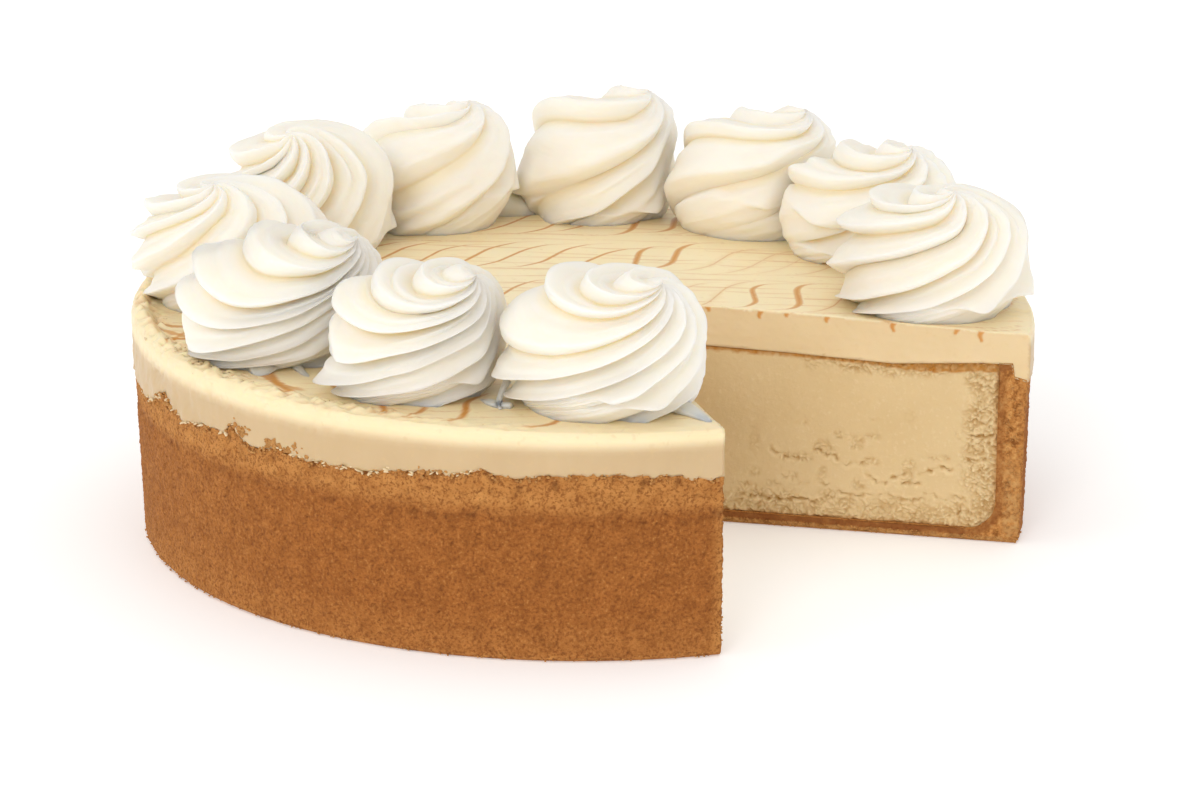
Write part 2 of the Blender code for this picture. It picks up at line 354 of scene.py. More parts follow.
class Sector:
    """The cut round while it is built: points, triangles, and each point's tag and (radius, height).
    A tag is 0 round the outside, 1 on the right cut and 2 on the near cut."""

    def __init__(self, ring_at, columns, axis_z):
        """ring_at(angle) gives the rows of one column, starting beside the foot of the axis."""
        self.verts, self.tris, self.tags, self.flat = [], [], [], []
        self.angles = CUT_A + SWEEP * np.arange(columns + 1) / columns
        rings = np.array([ring_at(angle) for angle in self.angles])
        cos, sin = np.cos(self.angles)[:, None], np.sin(self.angles)[:, None]
        shell = self.add(spun(rings, cos, sin).reshape(-1, 3), 0.0, rings.reshape(-1, 2))
        axis = np.stack([np.zeros(len(axis_z)), axis_z], -1)
        self.axis = self.add(spun(axis, 1.0, 0.0), 0.0, axis)
        self.grid = shell.reshape(rings.shape[:2])
        a, b, c, d = self.grid[:-1, :-1], self.grid[:-1, 1:], self.grid[1:, 1:], self.grid[1:, :-1]
        self.tris += [np.stack([a, c, b], -1).reshape(-1, 3), np.stack([a, d, c], -1).reshape(-1, 3)]
        self.fan(self.axis[0], self.grid[1:, 0], self.grid[:-1, 0])

    def add(self, points, tag, flat):
        """Add points that share a tag, and return their indices."""
        total = sum(len(part) for part in self.verts)
        self.verts.append(points)
        self.tags.append(np.full(len(points), tag))
        self.flat.append(flat)
        return np.arange(total, total + len(points))

    def fan(self, hub, first, second):
        self.tris.append(np.stack([np.full(len(first), hub), first, second], -1))

    def fill(self, ids, loop, inner, points, tag, flat, flip):
        """Close the loop through the points ids with the free points inner, added as points."""
        part = fill_polygon(loop, inner, flip)
        self.tris.append(np.concatenate([ids, self.add(points, tag, flat)])[part])

    def close_cut(self, side, points_at, edge=()):
        """Fill one cut face. edge has the points that lie between its column and the axis head."""
        column = 0 if side == 1 else -1
        ids = np.concatenate([self.grid[column], edge, self.axis[::-1]]).astype(int)
        loop = np.concatenate(self.flat)[ids]
        inner = points_at(loop, side)
        angle = self.angles[column]
        points = spun(inner, math.cos(angle), math.sin(angle))
        self.fill(ids, loop, inner, points, float(side), inner, side == 2)

    def finish(self):
        verts = np.concatenate(self.verts)
        tris = outward(verts, np.concatenate(self.tris))
        return verts, tris, np.concatenate(self.tags), np.concatenate(self.flat)


def sector_solid(ring_at, columns, axis_z, points_at):
    """A sector whose rows run from the foot of the axis round to its head."""
    solid = Sector(ring_at, columns, axis_z)
    solid.fan(solid.axis[-1], solid.grid[:-1, -1], solid.grid[1:, -1])
    for side in (1, 2):
        solid.close_cut(side, points_at)
    return solid.finish()


def outward(verts, tris):
    """Make the triangles face out, judged by the signed volume."""
    a, b, c = verts[tris[:, 0]], verts[tris[:, 1]], verts[tris[:, 2]]
    if np.einsum("ij,ij->i", a, np.cross(b, c)).sum() < 0.0:
        return tris[:, ::-1].copy()
    return tris


# Materials
def new_material(name):
    material = bpy.data.materials.new(name)
    material.use_nodes = True
    tree = material.node_tree
    return material, tree, tree.nodes["Principled BSDF"]


def link(tree, a, b):
    tree.links.new(a, b)


def ramp(tree, source, stops):
    node = tree.nodes.new("ShaderNodeValToRGB")
    ends = node.color_ramp.elements
    while len(ends) < len(stops):
        ends.new(0.5)
    for end, (place, color) in zip(ends, stops):
        end.position = place
        end.color = (*color, 1.0) if len(color) == 3 else color
    link(tree, source, node.inputs[0])
    return node.outputs[0]


def mix_color(tree, factor, one, two, mode="MIX"):
    node = tree.nodes.new("ShaderNodeMix")
    node.data_type = "RGBA"
    node.blend_type = mode
    if hasattr(factor, "links"):
        link(tree, factor, node.inputs[0])
    else:
        node.inputs[0].default_value = factor
    for value, slot in ((one, node.inputs[6]), (two, node.inputs[7])):
        if hasattr(value, "links"):
            link(tree, value, slot)
        else:
            slot.default_value = (*value, 1.0)
    return node.outputs[2]


def texture(tree, scale, detail=4.0, rough=0.55):
    """Noise laid through the piece, as a value."""
    coords = tree.nodes.new("ShaderNodeTexCoord")
    node = tree.nodes.new("ShaderNodeTexNoise")
    node.inputs["Scale"].default_value = scale
    node.inputs["Detail"].default_value = detail
    node.inputs["Roughness"].default_value = rough
    link(tree, coords.outputs["Object"], node.inputs["Vector"])
    return node.outputs["Fac"]


def attribute(tree, name):
    node = tree.nodes.new("ShaderNodeAttribute")
    node.attribute_name = name
    return node.outputs["Fac"]


def add_bump(tree, shader, heights, strength, distance):
    node = tree.nodes.new("ShaderNodeBump")
    node.inputs["Strength"].default_value = strength
    node.inputs["Distance"].default_value = distance
    link(tree, heights, node.inputs["Height"])
    link(tree, node.outputs["Normal"], shader.inputs["Normal"])


def mottled(tree, scale, detail, dark, light, span=(0.3, 0.7)):
    """Two colours of one substance, mixed by noise."""
    return ramp(tree, texture(tree, scale, detail), [(span[0], dark), (span[1], light)])


def grey_ramp(tree, source, *stops):
    return ramp(tree, source, [(place, (grey, grey, grey)) for place, grey in stops])


def coats(tree, base, marks):
    """Lay each colour over the base where the mesh mark of its name is strong."""
    for mark, color in marks:
        base = mix_color(tree, attribute(tree, mark), base, color)
    return base


def surface(tree, shader, color, roughness, specular, scatter=()):
    """Join the colour and set the plain sockets; scatter is a weight, a radius and a scale in metres."""
    link(tree, color, shader.inputs["Base Color"])
    shader.inputs["Roughness"].default_value = roughness
    shader.inputs["Specular IOR Level"].default_value = specular
    for part, value in zip(("Weight", "Radius", "Scale"), scatter):
        shader.inputs["Subsurface " + part].default_value = value


def cream_material():
    material, tree, shader = new_material("whipped_cream_look")
    base = mottled(tree, 60.0, 3.0, (0.900, 0.840, 0.742), (0.920, 0.870, 0.776), (0.35, 0.65))
    # Painted shade: a warmer, darker tint laid into the swirls' creases and over the tails.
    base = coats(tree, base, (("crease_shade", (0.955, 0.815, 0.560)),))
    surface(tree, shader, base, 0.42, 0.35, (1.0, (1.0, 0.86, 0.66), 0.0068))
    add_bump(tree, shader, texture(tree, 900.0, 3.0, 0.6), 0.10, 0.0004)
    return material


def mousse_material():
    material, tree, shader = new_material("caramel_mousse_look")
    side = mottled(tree, 35.0, 4.0, (0.585, 0.415, 0.225), (0.640, 0.465, 0.262))
    top = mottled(tree, 28.0, 3.0, (0.920, 0.770, 0.480), (0.945, 0.805, 0.530))
    # Painted light: the cut faces are coloured lighter than the side, to make up for the shade that falls in
    # the cut wedge.
    cut_face_tone = mottled(tree, 45.0, 4.0, (0.762, 0.584, 0.335), (0.812, 0.632, 0.382))
    base = coats(tree, side, (("cut", cut_face_tone), ("topside", top), ("shaggy_tone_and_highlight", (0.930, 0.790, 0.520))))
    specks = grey_ramp(tree, texture(tree, 420.0, 2.0, 0.5), (0.62, 0.0), (0.80, 0.35))
    base = mix_color(tree, specks, base, (0.70, 0.50, 0.25))
    base = coats(tree, base, (("caramel", (0.620, 0.255, 0.034)),))
    surface(tree, shader, base, 0.40, 0.35, (0.35, (1.0, 0.62, 0.30), 0.0011))
    add_bump(tree, shader, texture(tree, 700.0, 4.0, 0.6), 0.14, 0.0005)
    return material


def shred_material():
    material, tree, shader = new_material("mousse_shreds_look")
    base = mottled(tree, 500.0, 3.0, (0.740, 0.560, 0.330), (0.830, 0.670, 0.420))
    surface(tree, shader, base, 0.50, 0.25)
    add_bump(tree, shader, texture(tree, 1200.0, 3.0), 0.25, 0.0004)
    return material


def filling_material():
    material, tree, shader = new_material("baked_filling_look")
    base = mottled(tree, 40.0, 5.0, (0.675, 0.494, 0.256), (0.735, 0.552, 0.304))
    fine = texture(tree, 650.0, 4.0, 0.65)
    base = mix_color(tree, grey_ramp(tree, fine, (0.55, 0.0), (0.75, 0.5)), base, (0.800, 0.630, 0.385))
    # Painted highlight on lump tops and crack lips, and painted shade in the cracks and between the lumps.
    base = coats(tree, base, (("loose_and_lit_peaks", (0.860, 0.665, 0.380)), ("browned", (0.500, 0.215, 0.036)),
                              ("hollow_shade", (0.440, 0.235, 0.055))))
    surface(tree, shader, base, 0.58, 0.2, (0.15, (1.0, 0.6, 0.28), 0.0005))
    add_bump(tree, shader, fine, 0.40, 0.0007)
    return material


def crust_material():
    material, tree, shader = new_material("crumb_crust_look")
    grain = texture(tree, 1150.0, 4.0, 0.7)
    broad = texture(tree, 240.0, 5.0, 0.6)
    low = ramp(tree, broad, [(0.32, (0.320, 0.104, 0.019)), (0.68, (0.445, 0.156, 0.032))])
    high = ramp(tree, broad, [(0.3, (0.510, 0.205, 0.048)), (0.7, (0.680, 0.315, 0.088))])
    # The band mark lifts the upper band to its lighter tones, and also carries painted highlight at the foot
    # and the left end.
    base = mix_color(tree, attribute(tree, "band"), low, high)
    base = mix_color(tree, grey_ramp(tree, grain, (0.38, 0.80), (0.515, 0.0)), base, (0.225, 0.068, 0.013))
    base = mix_color(tree, grey_ramp(tree, grain, (0.56, 0.0), (0.72, 0.75)), base, (0.600, 0.270, 0.075))
    stops = [(0.38, (0.290, 0.105, 0.022)), (0.50, (0.555, 0.235, 0.060)), (0.66, (0.740, 0.395, 0.130))]
    crumb = ramp(tree, texture(tree, 520.0, 4.0, 0.7), stops)
    # The pit coat is painted shade in the crust's pits, tears and seam.
    base = coats(tree, base, (("cut_face_tone", crumb), ("pale", (0.640, 0.350, 0.125)),
                              ("skin", (0.300, 0.105, 0.026)), ("pit_shade", (0.130, 0.036, 0.008))))
    surface(tree, shader, base, 0.85, 0.22, (0.08, (1.0, 0.5, 0.2), 0.0010))
    add_bump(tree, shader, grain, 0.8, 0.0009)
    return material


# Crust
def fillet_arc(wall, floor, degrees):
    """The rounded corner between the inside of the crust's wall and its base."""
    bend = np.radians(degrees)
    return [(wall - FILLET + FILLET * math.cos(b), floor + FILLET - FILLET * math.sin(b)) for b in bend]


def crust_rows(angle):
    """Rows out under the foot, up the wall, over the rim and down round the inner corner."""
    rim = float(rim_line(np.array([angle]))[0]) + 0.5
    path = [(26.0, 0.0), (118.0, 0.0), (126.2, 0.0), (127.2, 1.2), (CRUST_TOP_R, rim), (124.9, rim + 0.9),
            (124.3, 53.1), (CRUST_INNER_R, 52.9)]
    path += fillet_arc(CRUST_INNER_R, CRUST_BASE, np.linspace(0.0, 90.0, 7))
    path.append((26.0, CRUST_BASE))
    return subdivided(path, [1, 3, 2, 74, 4, 3, 3] + [1] * 8)


def inner_skin(radius, height, verts, cut):
    """The dark layer of the cut faces where the crust meets the filling and the mousse."""
    depth = CRUST_TOP_R - radius
    wall = 0.55 * ease(CRUST_WALL - 3.2, CRUST_WALL - 1.2, depth) * (height > 8.0)
    floor = ease(1.0, 1.8, height + 0.3 * noise3(verts / 1.5, 35)) * (radius < 116.0)
    corner = np.hypot(radius - (CRUST_INNER_R - FILLET), height - CRUST_BASE - FILLET)
    bend = (radius > CRUST_INNER_R - FILLET) * (height < CRUST_BASE + FILLET)
    skin = np.maximum(wall, floor) * (1.0 - bend)
    skin = np.maximum(skin, 0.8 * bend * ease(FILLET + 2.9, FILLET + 1.5, corner)) * cut
    cap = (height > 50.6 + 0.8 * noise3(verts / 1.6, 38)) * (radius < 125.2) * cut
    return np.clip(np.maximum(skin, cap) * (0.90 + 0.25 * noise3(verts / 1.5, 36)), 0, 1)


def build_crust(material):
    axis_z = np.linspace(0.0, CRUST_BASE, 3)
    verts, tris, tags, flat = sector_solid(crust_rows, CRUST_COLUMNS, axis_z, even_points(0.46, 30))
    normals = tri_normals(verts, tris)
    radius = np.hypot(verts[:, 0], verts[:, 1])
    height = verts[:, 2]
    angle = np.arctan2(verts[:, 1], verts[:, 0])
    outer = ((radius > 126.5) | (height < 0.01) & (radius > 120.0)).astype(float)
    cut = (tags > 0).astype(float)
    shown = np.clip(outer + cut, 0.0, 1.0)
    # relief: grains all over, a seam where the band begins, tears under the mousse
    grain = worley(verts / 1.35, 3)[0]
    relief = 0.46 * (0.55 - grain) + 0.34 * fbm(verts / 1.0, 2, 4) + 0.22 * fbm(verts / 9.0, 3, 8)
    ring = np.stack([np.cos(angle) * 25, np.sin(angle) * 25, angle * 0], -1)
    band_line = 39.8 + 0.9 * fbm(ring, 3, 21)
    seam = bump(height, band_line - 0.4, 1.3) * outer
    small, small_tag = worley(verts / 1.9, 14)
    dots = ease(0.38, 0.10, small) * (small_tag > 0.54 - 0.30 * seam) * (1.0 - 0.9 * cut)
    big, big_tag = worley(verts / 3.2, 12)
    tears = ease(0.45, 0.12, big) * (big_tag > 0.40) * ease(44.5, 49.5, height) * outer
    move = shown * relief - 0.34 * dots * shown - 0.9 * tears
    move -= 0.50 * seam * (0.3 + noise3(verts / 1.6, 40).clip(0, 1))
    at_foot = height < 0.6
    move = np.where(outer > 0, move * np.where(at_foot, 0.15, 1.0), move)
    step = normals * np.clip(move, -1.6, 0.55)[:, None]
    step[:, 2] = np.where(at_foot, 0.0, step[:, 2])
    verts = verts + step
    verts[:, 2] = np.maximum(verts[:, 2], 0.0)
    keep_round(verts, MOUSSE_R)
    # colour marks
    upper = ease(band_line - 1.0, band_line + 5.0, height)
    band = np.clip(upper * (0.80 + 0.45 * fbm(verts / 5.0, 3, 31)), 0.0, 1.0)
    # painted highlight: the crust is lighter at its foot and up to 16 mm, and lighter towards its left end
    # where the light falls
    foot = 0.8 * ease(2.6, 0.2, height) * (0.5 + 0.5 * noise3(verts / 1.3, 33))
    foot = foot + 0.30 * ease(16.0, 2.0, height)
    skin = inner_skin(flat[:, 0], height, verts, cut)
    near_cut = np.minimum(angle_room(angle, CUT_A), angle_room(angle, CUT_A + SWEEP)) * radius
    lit_left = 0.22 * near_angle(np.degrees(angle), -165.0, 15.0, 45.0)
    band_and_painted_light = np.clip(band + foot + lit_left + 0.7 * ease(4.0, 0.3, near_cut), 0, 1)
    # painted shade: near-black in the pits, the tears under the mousse and the seam where the band begins
    pit_shade = 0.42 * dots * shown + 0.60 * tears + 0.40 * seam * ease(-0.1, 0.6, noise3(verts / 1.4, 41))
    depth = CRUST_TOP_R - flat[:, 0]
    rind = ease(2.4, 0.6, depth + 0.8 * noise3(verts / 1.8, 39)) * cut
    pale = ease(30.0, 12.0, height + 3.0 * noise3(verts / 5.0, 43)) * ease(6.6, 4.6, depth)
    pale = np.maximum(pale, height < 1.3) * cut * (1.0 - 0.6 * rind) * (1.0 - skin)
    pale = pale * (0.60 + 0.8 * noise3(verts / 1.1, 44))
    marks = {"band": np.where(cut > 0, 0.95, band_and_painted_light), "pit_shade": np.clip(pit_shade, 0, 1), "skin": skin,
             "cut_face_tone": np.clip(cut - 0.85 * rind, 0, 1), "pale": np.clip(pale, 0, 1)}
    return make_piece("crust_crumb", verts, tris, material, ("crust",), marks)


# Filling
def filling_rows(angle):
    """Rows out along the base, up the wall and back over the top, the same at every angle."""
    wall, floor = CRUST_INNER_R + LAYER_GAP, CRUST_BASE + LAYER_GAP
    path = [(20.0, floor)] + fillet_arc(wall, floor, np.linspace(90.0, 0.0, 9))
    path += [(wall, 52.5), (116.0, 52.5), (90.0, 50.6), (60.0, 51.85), (20.0, 52.7)]
    gaps = [np.linalg.norm(np.subtract(b, a)) for a, b in zip(path, path[1:])]
    return subdivided(path, [max(1, int(gap / 0.9)) for gap in gaps])


# Cracks of the right cut face, as (radius, height) points
CRACKS = (
    ((54.8, 23.4), (56.5, 22.1), (58.7, 21.9), (60.2, 21.0), (62.7, 20.4), (63.9, 21.0)),
    ((66.7, 23.5), (68.8, 23.6), (69.9, 22.4), (72.1, 22.1), (73.8, 21.4), (75.8, 20.5)),
    ((76.0, 19.9), (77.5, 19.7), (79.1, 20.4), (81.2, 19.8), (82.8, 20.1)),
    ((82.8, 17.4), (84.9, 16.7), (86.6, 15.1), (87.8, 14.6), (89.8, 16.4), (93.0, 17.3), (94.2, 18.1)),
    ((93.1, 15.2), (94.7, 15.9), (97.2, 15.5), (98.4, 15.2)),
    ((97.9, 18.5), (100.3, 19.1), (102.3, 20.1), (105.2, 20.7), (106.8, 20.0), (108.0, 20.8)),
    ((68.1, 14.6), (69.8, 13.9), (71.4, 13.2), (72.2, 13.4)),
    ((72.3, 11.1), (75.1, 11.6), (77.6, 10.9), (80.1, 10.6), (82.5, 11.3), (85.4, 11.2)),
    ((85.7, 10.8), (88.3, 11.9), (90.7, 11.2), (93.2, 10.5), (95.6, 10.3), (99.3, 11.0), (101.3, 10.5)),
    ((101.7, 12.5), (103.8, 11.5), (106.2, 11.5), (108.6, 12.5), (111.1, 11.9), (112.3, 11.1)),
    ((42.9, 11.2), (45.4, 12.1), (47.9, 11.9), (51.2, 11.5)),
    ((45.4, 9.4), (48.4, 8.1), (51.3, 8.4), (54.2, 8.0), (60.4, 8.1), (64.5, 8.6), (67.8, 7.6), (71.1, 8.7)),
    ((10.0, 16.4), (15.0, 17.8), (19.0, 16.6), (24.0, 17.2), (27.0, 15.8)),
    ((22.0, 9.5), (27.0, 10.8), (31.0, 9.9), (36.0, 10.6)),
    ((113.0, 30.6), (115.4, 30.9), (117.4, 30.7), (119.0, 31.4)),
    ((110.7, 24.1), (113.2, 23.4), (115.6, 24.0), (118.0, 24.0), (120.0, 24.8)),
    ((114.1, 20.5), (117.3, 21.2), (120.1, 20.6)),
    ((107.5, 7.4), (109.6, 6.3), (110.3, 8.0), (109.9, 9.7)),
)


def crack_stations(side):
    """Close stations along every crack: radius, height and strength. The far cut has its own set."""
    rng = random.Random(70 + side)
    out = []
    for crack in CRACKS:
        pts = np.array(crack)
        if side == 2:
            pts = np.column_stack([118.0 - 0.93 * pts[:, 0], pts[:, 1] + 2.0 * math.sin(pts[0, 0])])
        strength = rng.uniform(0.50, 1.0)
        lengths = np.hypot(*np.diff(pts, axis=0).T)
        along = np.concatenate([[0.0], np.cumsum(lengths)])
        steps = max(4, int(along[-1] / 0.28))
        t = np.linspace(0.0, along[-1], steps)
        r, z = np.interp(t, along, pts[:, 0]), np.interp(t, along, pts[:, 1])
        here = np.stack([r, z, r * 0 + side], -1)
        r = r + 0.45 * noise3(here / 0.9, 321)
        z = z + 0.60 * noise3(here / 0.8, 322) + 0.35 * noise3(here / 2.1, 323)
        fade = np.minimum(1.0, 6.0 * np.minimum(t, along[-1] - t) / along[-1] + 0.2)
        gaps = 0.25 + 0.75 * ease(-0.30, 0.2, noise3(here / 1.3, 324))
        out += list(zip(r, z, strength * fade * gaps))
    return np.array(out)


def crumbly(r, z):
    """How crumbly a cut face is: most by the wall, along the foot and under the mousse."""
    plane = np.stack([r, z, r * 0.0], -1)
    drift = 2.2 * noise3(plane / 6.0, 331)
    wall = ease(11.5, 6.0, CRUST_INNER_R - r + drift)
    foot = 0.75 * ease(13.5, 8.0, z + drift)
    head = 0.85 * ease(4.2, 1.6, seat_height(r) - z + 0.5 * drift) * ease(52.0, 78.0, r)
    spots = 0.55 * ease(0.30, 0.55, noise3(plane / np.array([5.0, 2.6, 1.0]), 332))
    spots = spots * ease(46.0, 20.0, z) * ease(30.0, 70.0, r)
    return np.clip(np.max([wall, foot, head, spots], axis=0), 0.0, 1.0)


def face_points(loop, side):
    """Free points of a cut face, finer where it is crumbly and along the cracks."""
    fine = scatter_inside(loop, 0.28 if side == 1 else 0.42, 0.20, 60 + side)
    fine = fine[crumbly(fine[:, 0], fine[:, 1]) > 0.25]
    coarse = scatter_inside(loop, 0.72, 0.36, 64 + side)
    coarse = coarse[crumbly(coarse[:, 0], coarse[:, 1]) <= 0.25]
    stations = crack_stations(side)
    beside = (0.0, 0.22, -0.22, 0.48, -0.48)
    lines = np.concatenate([stations[:, :2] + np.array([0.0, off]) for off in beside])
    lines = lines[inside_loop(lines, loop) & (lines[:, 0] > 1.0) & (lines[:, 1] > CRUST_BASE + 0.5)]
    lines = lines[lines[:, 0] < CRUST_INNER_R - 0.3]
    return np.concatenate([lines, clear_of(np.concatenate([fine, coarse]), lines, 0.16)])


def crack_values(r, z, side):
    """Depth of the groove and of the raised lip above it, each 0 to 1."""
    stations = crack_stations(side)
    tree = tree_of(stations)
    groove, lip = np.zeros(len(r)), np.zeros(len(r))
    for k, (a, b) in enumerate(zip(r, z)):
        _, index, away = tree.find((a, b, 0.0))
        if away < 1.6:
            _, height, strength = stations[index]
            width = 0.34 + 0.20 * math.sin(1.7 * a + 0.6 * b)
            groove[k] = strength * math.exp(-(away / width) ** 2)
            lip[k] = strength * math.exp(-((away - 0.9) / 0.5) ** 2) * (0.5 if b > height else 1.0)
    return groove, lip


def filling_face(r, z, side):
    """How far the points of a cut face move out, how browned they are, the painted shade in their cracks and
    hollows, and the painted highlight on their lump tops and crack lips.
    """
    plane = np.stack([r, z, r * 0 + 30.0 * side], -1)
    groove, lip = crack_values(r, z, side)
    loose_and_lit_peaks = crumbly(r, z)
    warp = np.stack([noise3(plane / 1.7, 71), noise3(plane / 1.7, 72), r * 0], -1)
    big, big_tag = worley(plane / np.array([2.0, 1.5, 1.0]) + 1.1 * warp, 73)
    small, small_tag = worley(plane / np.array([1.05, 0.80, 1.0]) + 1.0 * warp, 83)
    drift = noise3(plane / 2.6, 76)
    seam = ease(0.42, 0.80, big + 0.25 * drift) * (0.55 + 0.45 * big_tag)
    nick = ease(0.40, 0.75, small + 0.20 * drift) * (0.40 + 0.60 * small_tag)
    lumps = 1.15 * (0.35 - big) + 0.75 * (0.4 - small) - 0.45 * nick - 0.20
    fine = 0.09 * fbm(plane / 1.2, 2, 74) + 0.22 * fbm(plane / 9.0, 2, 75)
    thick = 0.75 + 1.7 * ease(84.0, 104.0, r) + 0.40 * noise3(plane / 1.4, 77)
    top_skin = ease(thick + 0.45, thick - 0.15, seat_height(r) - z)
    near_wall = 0.45 * np.maximum(ease(1.6, 0.3, CRUST_INNER_R - r), ease(1.2, 0.2, z - CRUST_BASE))
    move = fine + loose_and_lit_peaks * lumps + 0.42 * lip - 0.75 * groove - 0.30
    move = move + top_skin * (0.45 * noise3(plane / 0.9, 79) - 0.15)
    # painted shade: darker in the cracks' grooves and in the seams and nicks between the crumbly lumps
    hollow_shade = np.clip(0.75 * groove + loose_and_lit_peaks * (0.30 * seam + 0.48 * nick), 0, 1)
    browned = np.clip(np.maximum(top_skin * (0.85 + 0.30 * noise3(plane / 0.9, 78)), near_wall), 0, 1)
    # painted highlight: lighter on the tops of the crumbly lumps and on the cracks' lips
    peak = np.maximum(loose_and_lit_peaks * ease(0.50, 0.12, small) * (0.6 + 0.5 * drift), 0.7 * lip.clip(0, 1))
    return move, hollow_shade, browned, peak


def build_filling(material):
    axis_z = np.linspace(CRUST_BASE + LAYER_GAP, 53.0, 56)
    verts, tris, tags, flat = sector_solid(filling_rows, FILLING_COLUMNS, axis_z, face_points)
    normals = tri_normals(verts, tris)
    angle = np.arctan2(verts[:, 1], verts[:, 0])
    reach = np.hypot(verts[:, 0], verts[:, 1])
    values = np.zeros((4, len(verts)))
    for side, mark, toward in ((1, CUT_A, 1.0), (2, CUT_A + SWEEP, -1.0)):
        on = (tags == side) | ((tags == 0) & (reach > 1.0) & (angle_room(angle, mark) < 1e-5))
        normals[on] = (toward * math.sin(mark), -toward * math.cos(mark), 0.0)
        values[:, on] = filling_face(flat[on][:, 0], flat[on][:, 1], side)
    move, hollow_shade, browned, peak = values
    verts = verts + normals * np.clip(move, -1.6, 0.15)[:, None]
    return make_piece("filling_baked", verts, tris, material, ("filling",),
                      {"hollow_shade": hollow_shade, "browned": browned, "loose_and_lit_peaks": peak})


# Mousse and its caramel lines
STROKE_GAP = 12.2
LINE_GAP = 7.3


def stroke_through(points, width, strength):
    """A smooth stroke through given points, thick in its middle and fine at both ends."""
    curve, place = spline(np.array(points, dtype=float), 14)
    middle = 1.0 - np.abs(place / place[-1] * 2.0 - 1.0) ** 2.5
    return np.column_stack([curve, 0.35 + (width - 0.35) * middle, strength * (0.45 + 0.55 * middle)])


def thick_stroke(rng, cx, cy, half, tilt, width, tail_up, tail_down):
    """One S stroke, drawn out to the right at its far end and to the left at its near end."""
    wave = rng.uniform(0.4, 1.1)
    ends = ((1.0, 1.12), (0.42, 1.05), (0.10, 0.92))
    points = [(cx - tilt * half - share * tail_down, cy - along * half) for share, along in ends]
    points += [(cx - 0.6 * tilt * half + wave, cy - 0.55 * half), (cx, cy)]
    points += [(cx + 0.6 * tilt * half - wave, cy + 0.55 * half)]
    points += [(cx + tilt * half + share * tail_up, cy + along * half) for share, along in reversed(ends)]
    stroke = stroke_through(points, width, 0.95)
    t = np.linspace(-1.0, 1.0, len(stroke))
    body = np.clip(1.0 - (np.abs(t) / 0.62) ** 3, 0.0, 1.0)
    tail = np.clip((np.abs(t) - 0.62) / 0.38, 0.0, 1.0)
    stroke[:, 2] = 0.34 + (width - 0.34) * body
    stroke[:, 3] = 0.55 + 0.42 * body - 0.45 * tail
    return stroke


# Strokes and smears near the front rim: (x, y) points, width and strength
FRONT_STROKES = (
    (((-123.0, -31.0), (-118.5, -30.0), (-114.0, -31.5), (-108.0, -32.5)), 3.4, 0.85),
    (((-87.5, -73.0), (-85.0, -80.0), (-80.5, -87.5), (-74.0, -92.5)), 5.0, 0.80),
    (((-121.0, -37.7), (-117.6, -35.6), (-113.7, -38.7), (-110.1, -41.8), (-106.0, -42.0)), 2.6, 0.75),
    (((-117.0, -39.7), (-112.3, -44.0), (-107.5, -42.8), (-103.0, -44.0)), 2.4, 1.0),
    (((-84.5, -74.0), (-83.4, -80.0), (-81.4, -87.0), (-77.5, -94.0), (-83.0, -91.5)), 2.6, 0.95),
    (((-67.5, -86.5), (-65.2, -90.6), (-61.5, -93.8), (-59.0, -93.0)), 2.4, 0.9),
    (((-55.5, -99.0), (-53.4, -104.0), (-52.0, -109.0), (-52.8, -114.5)), 2.0, 1.0),
    (((-41.0, -100.4), (-41.4, -107.0), (-43.4, -112.4), (-47.0, -116.5)), 1.7, 0.95),
    (((-25.0, -94.9), (-30.2, -102.0), (-30.6, -109.6), (-31.8, -115.8), (-36.0, -119.4)), 2.0, 1.0),
    (((-2.5, -110.3), (-6.6, -117.7), (-9.4, -121.6), (-15.8, -124.0)), 1.8, 0.95),
)


def thin_line(rng, x0, x1, y, slope):
    """One long fine line along X, bowed and fading at both ends."""
    points = []
    bow = rng.uniform(-2.2, 2.2)
    peak = rng.uniform(0.35, 0.85)
    for t in np.linspace(0.0, 1.0, 61):
        x = x0 + (x1 - x0) * t
        fade = min(1.0, 4.0 * t * (1.0 - t) + 0.05)
        height = y + slope * (x - x0) + bow * math.sin(math.pi * t)
        points.append((x, height, 0.26 + 0.14 * fade, peak * fade))
    return np.array(points)


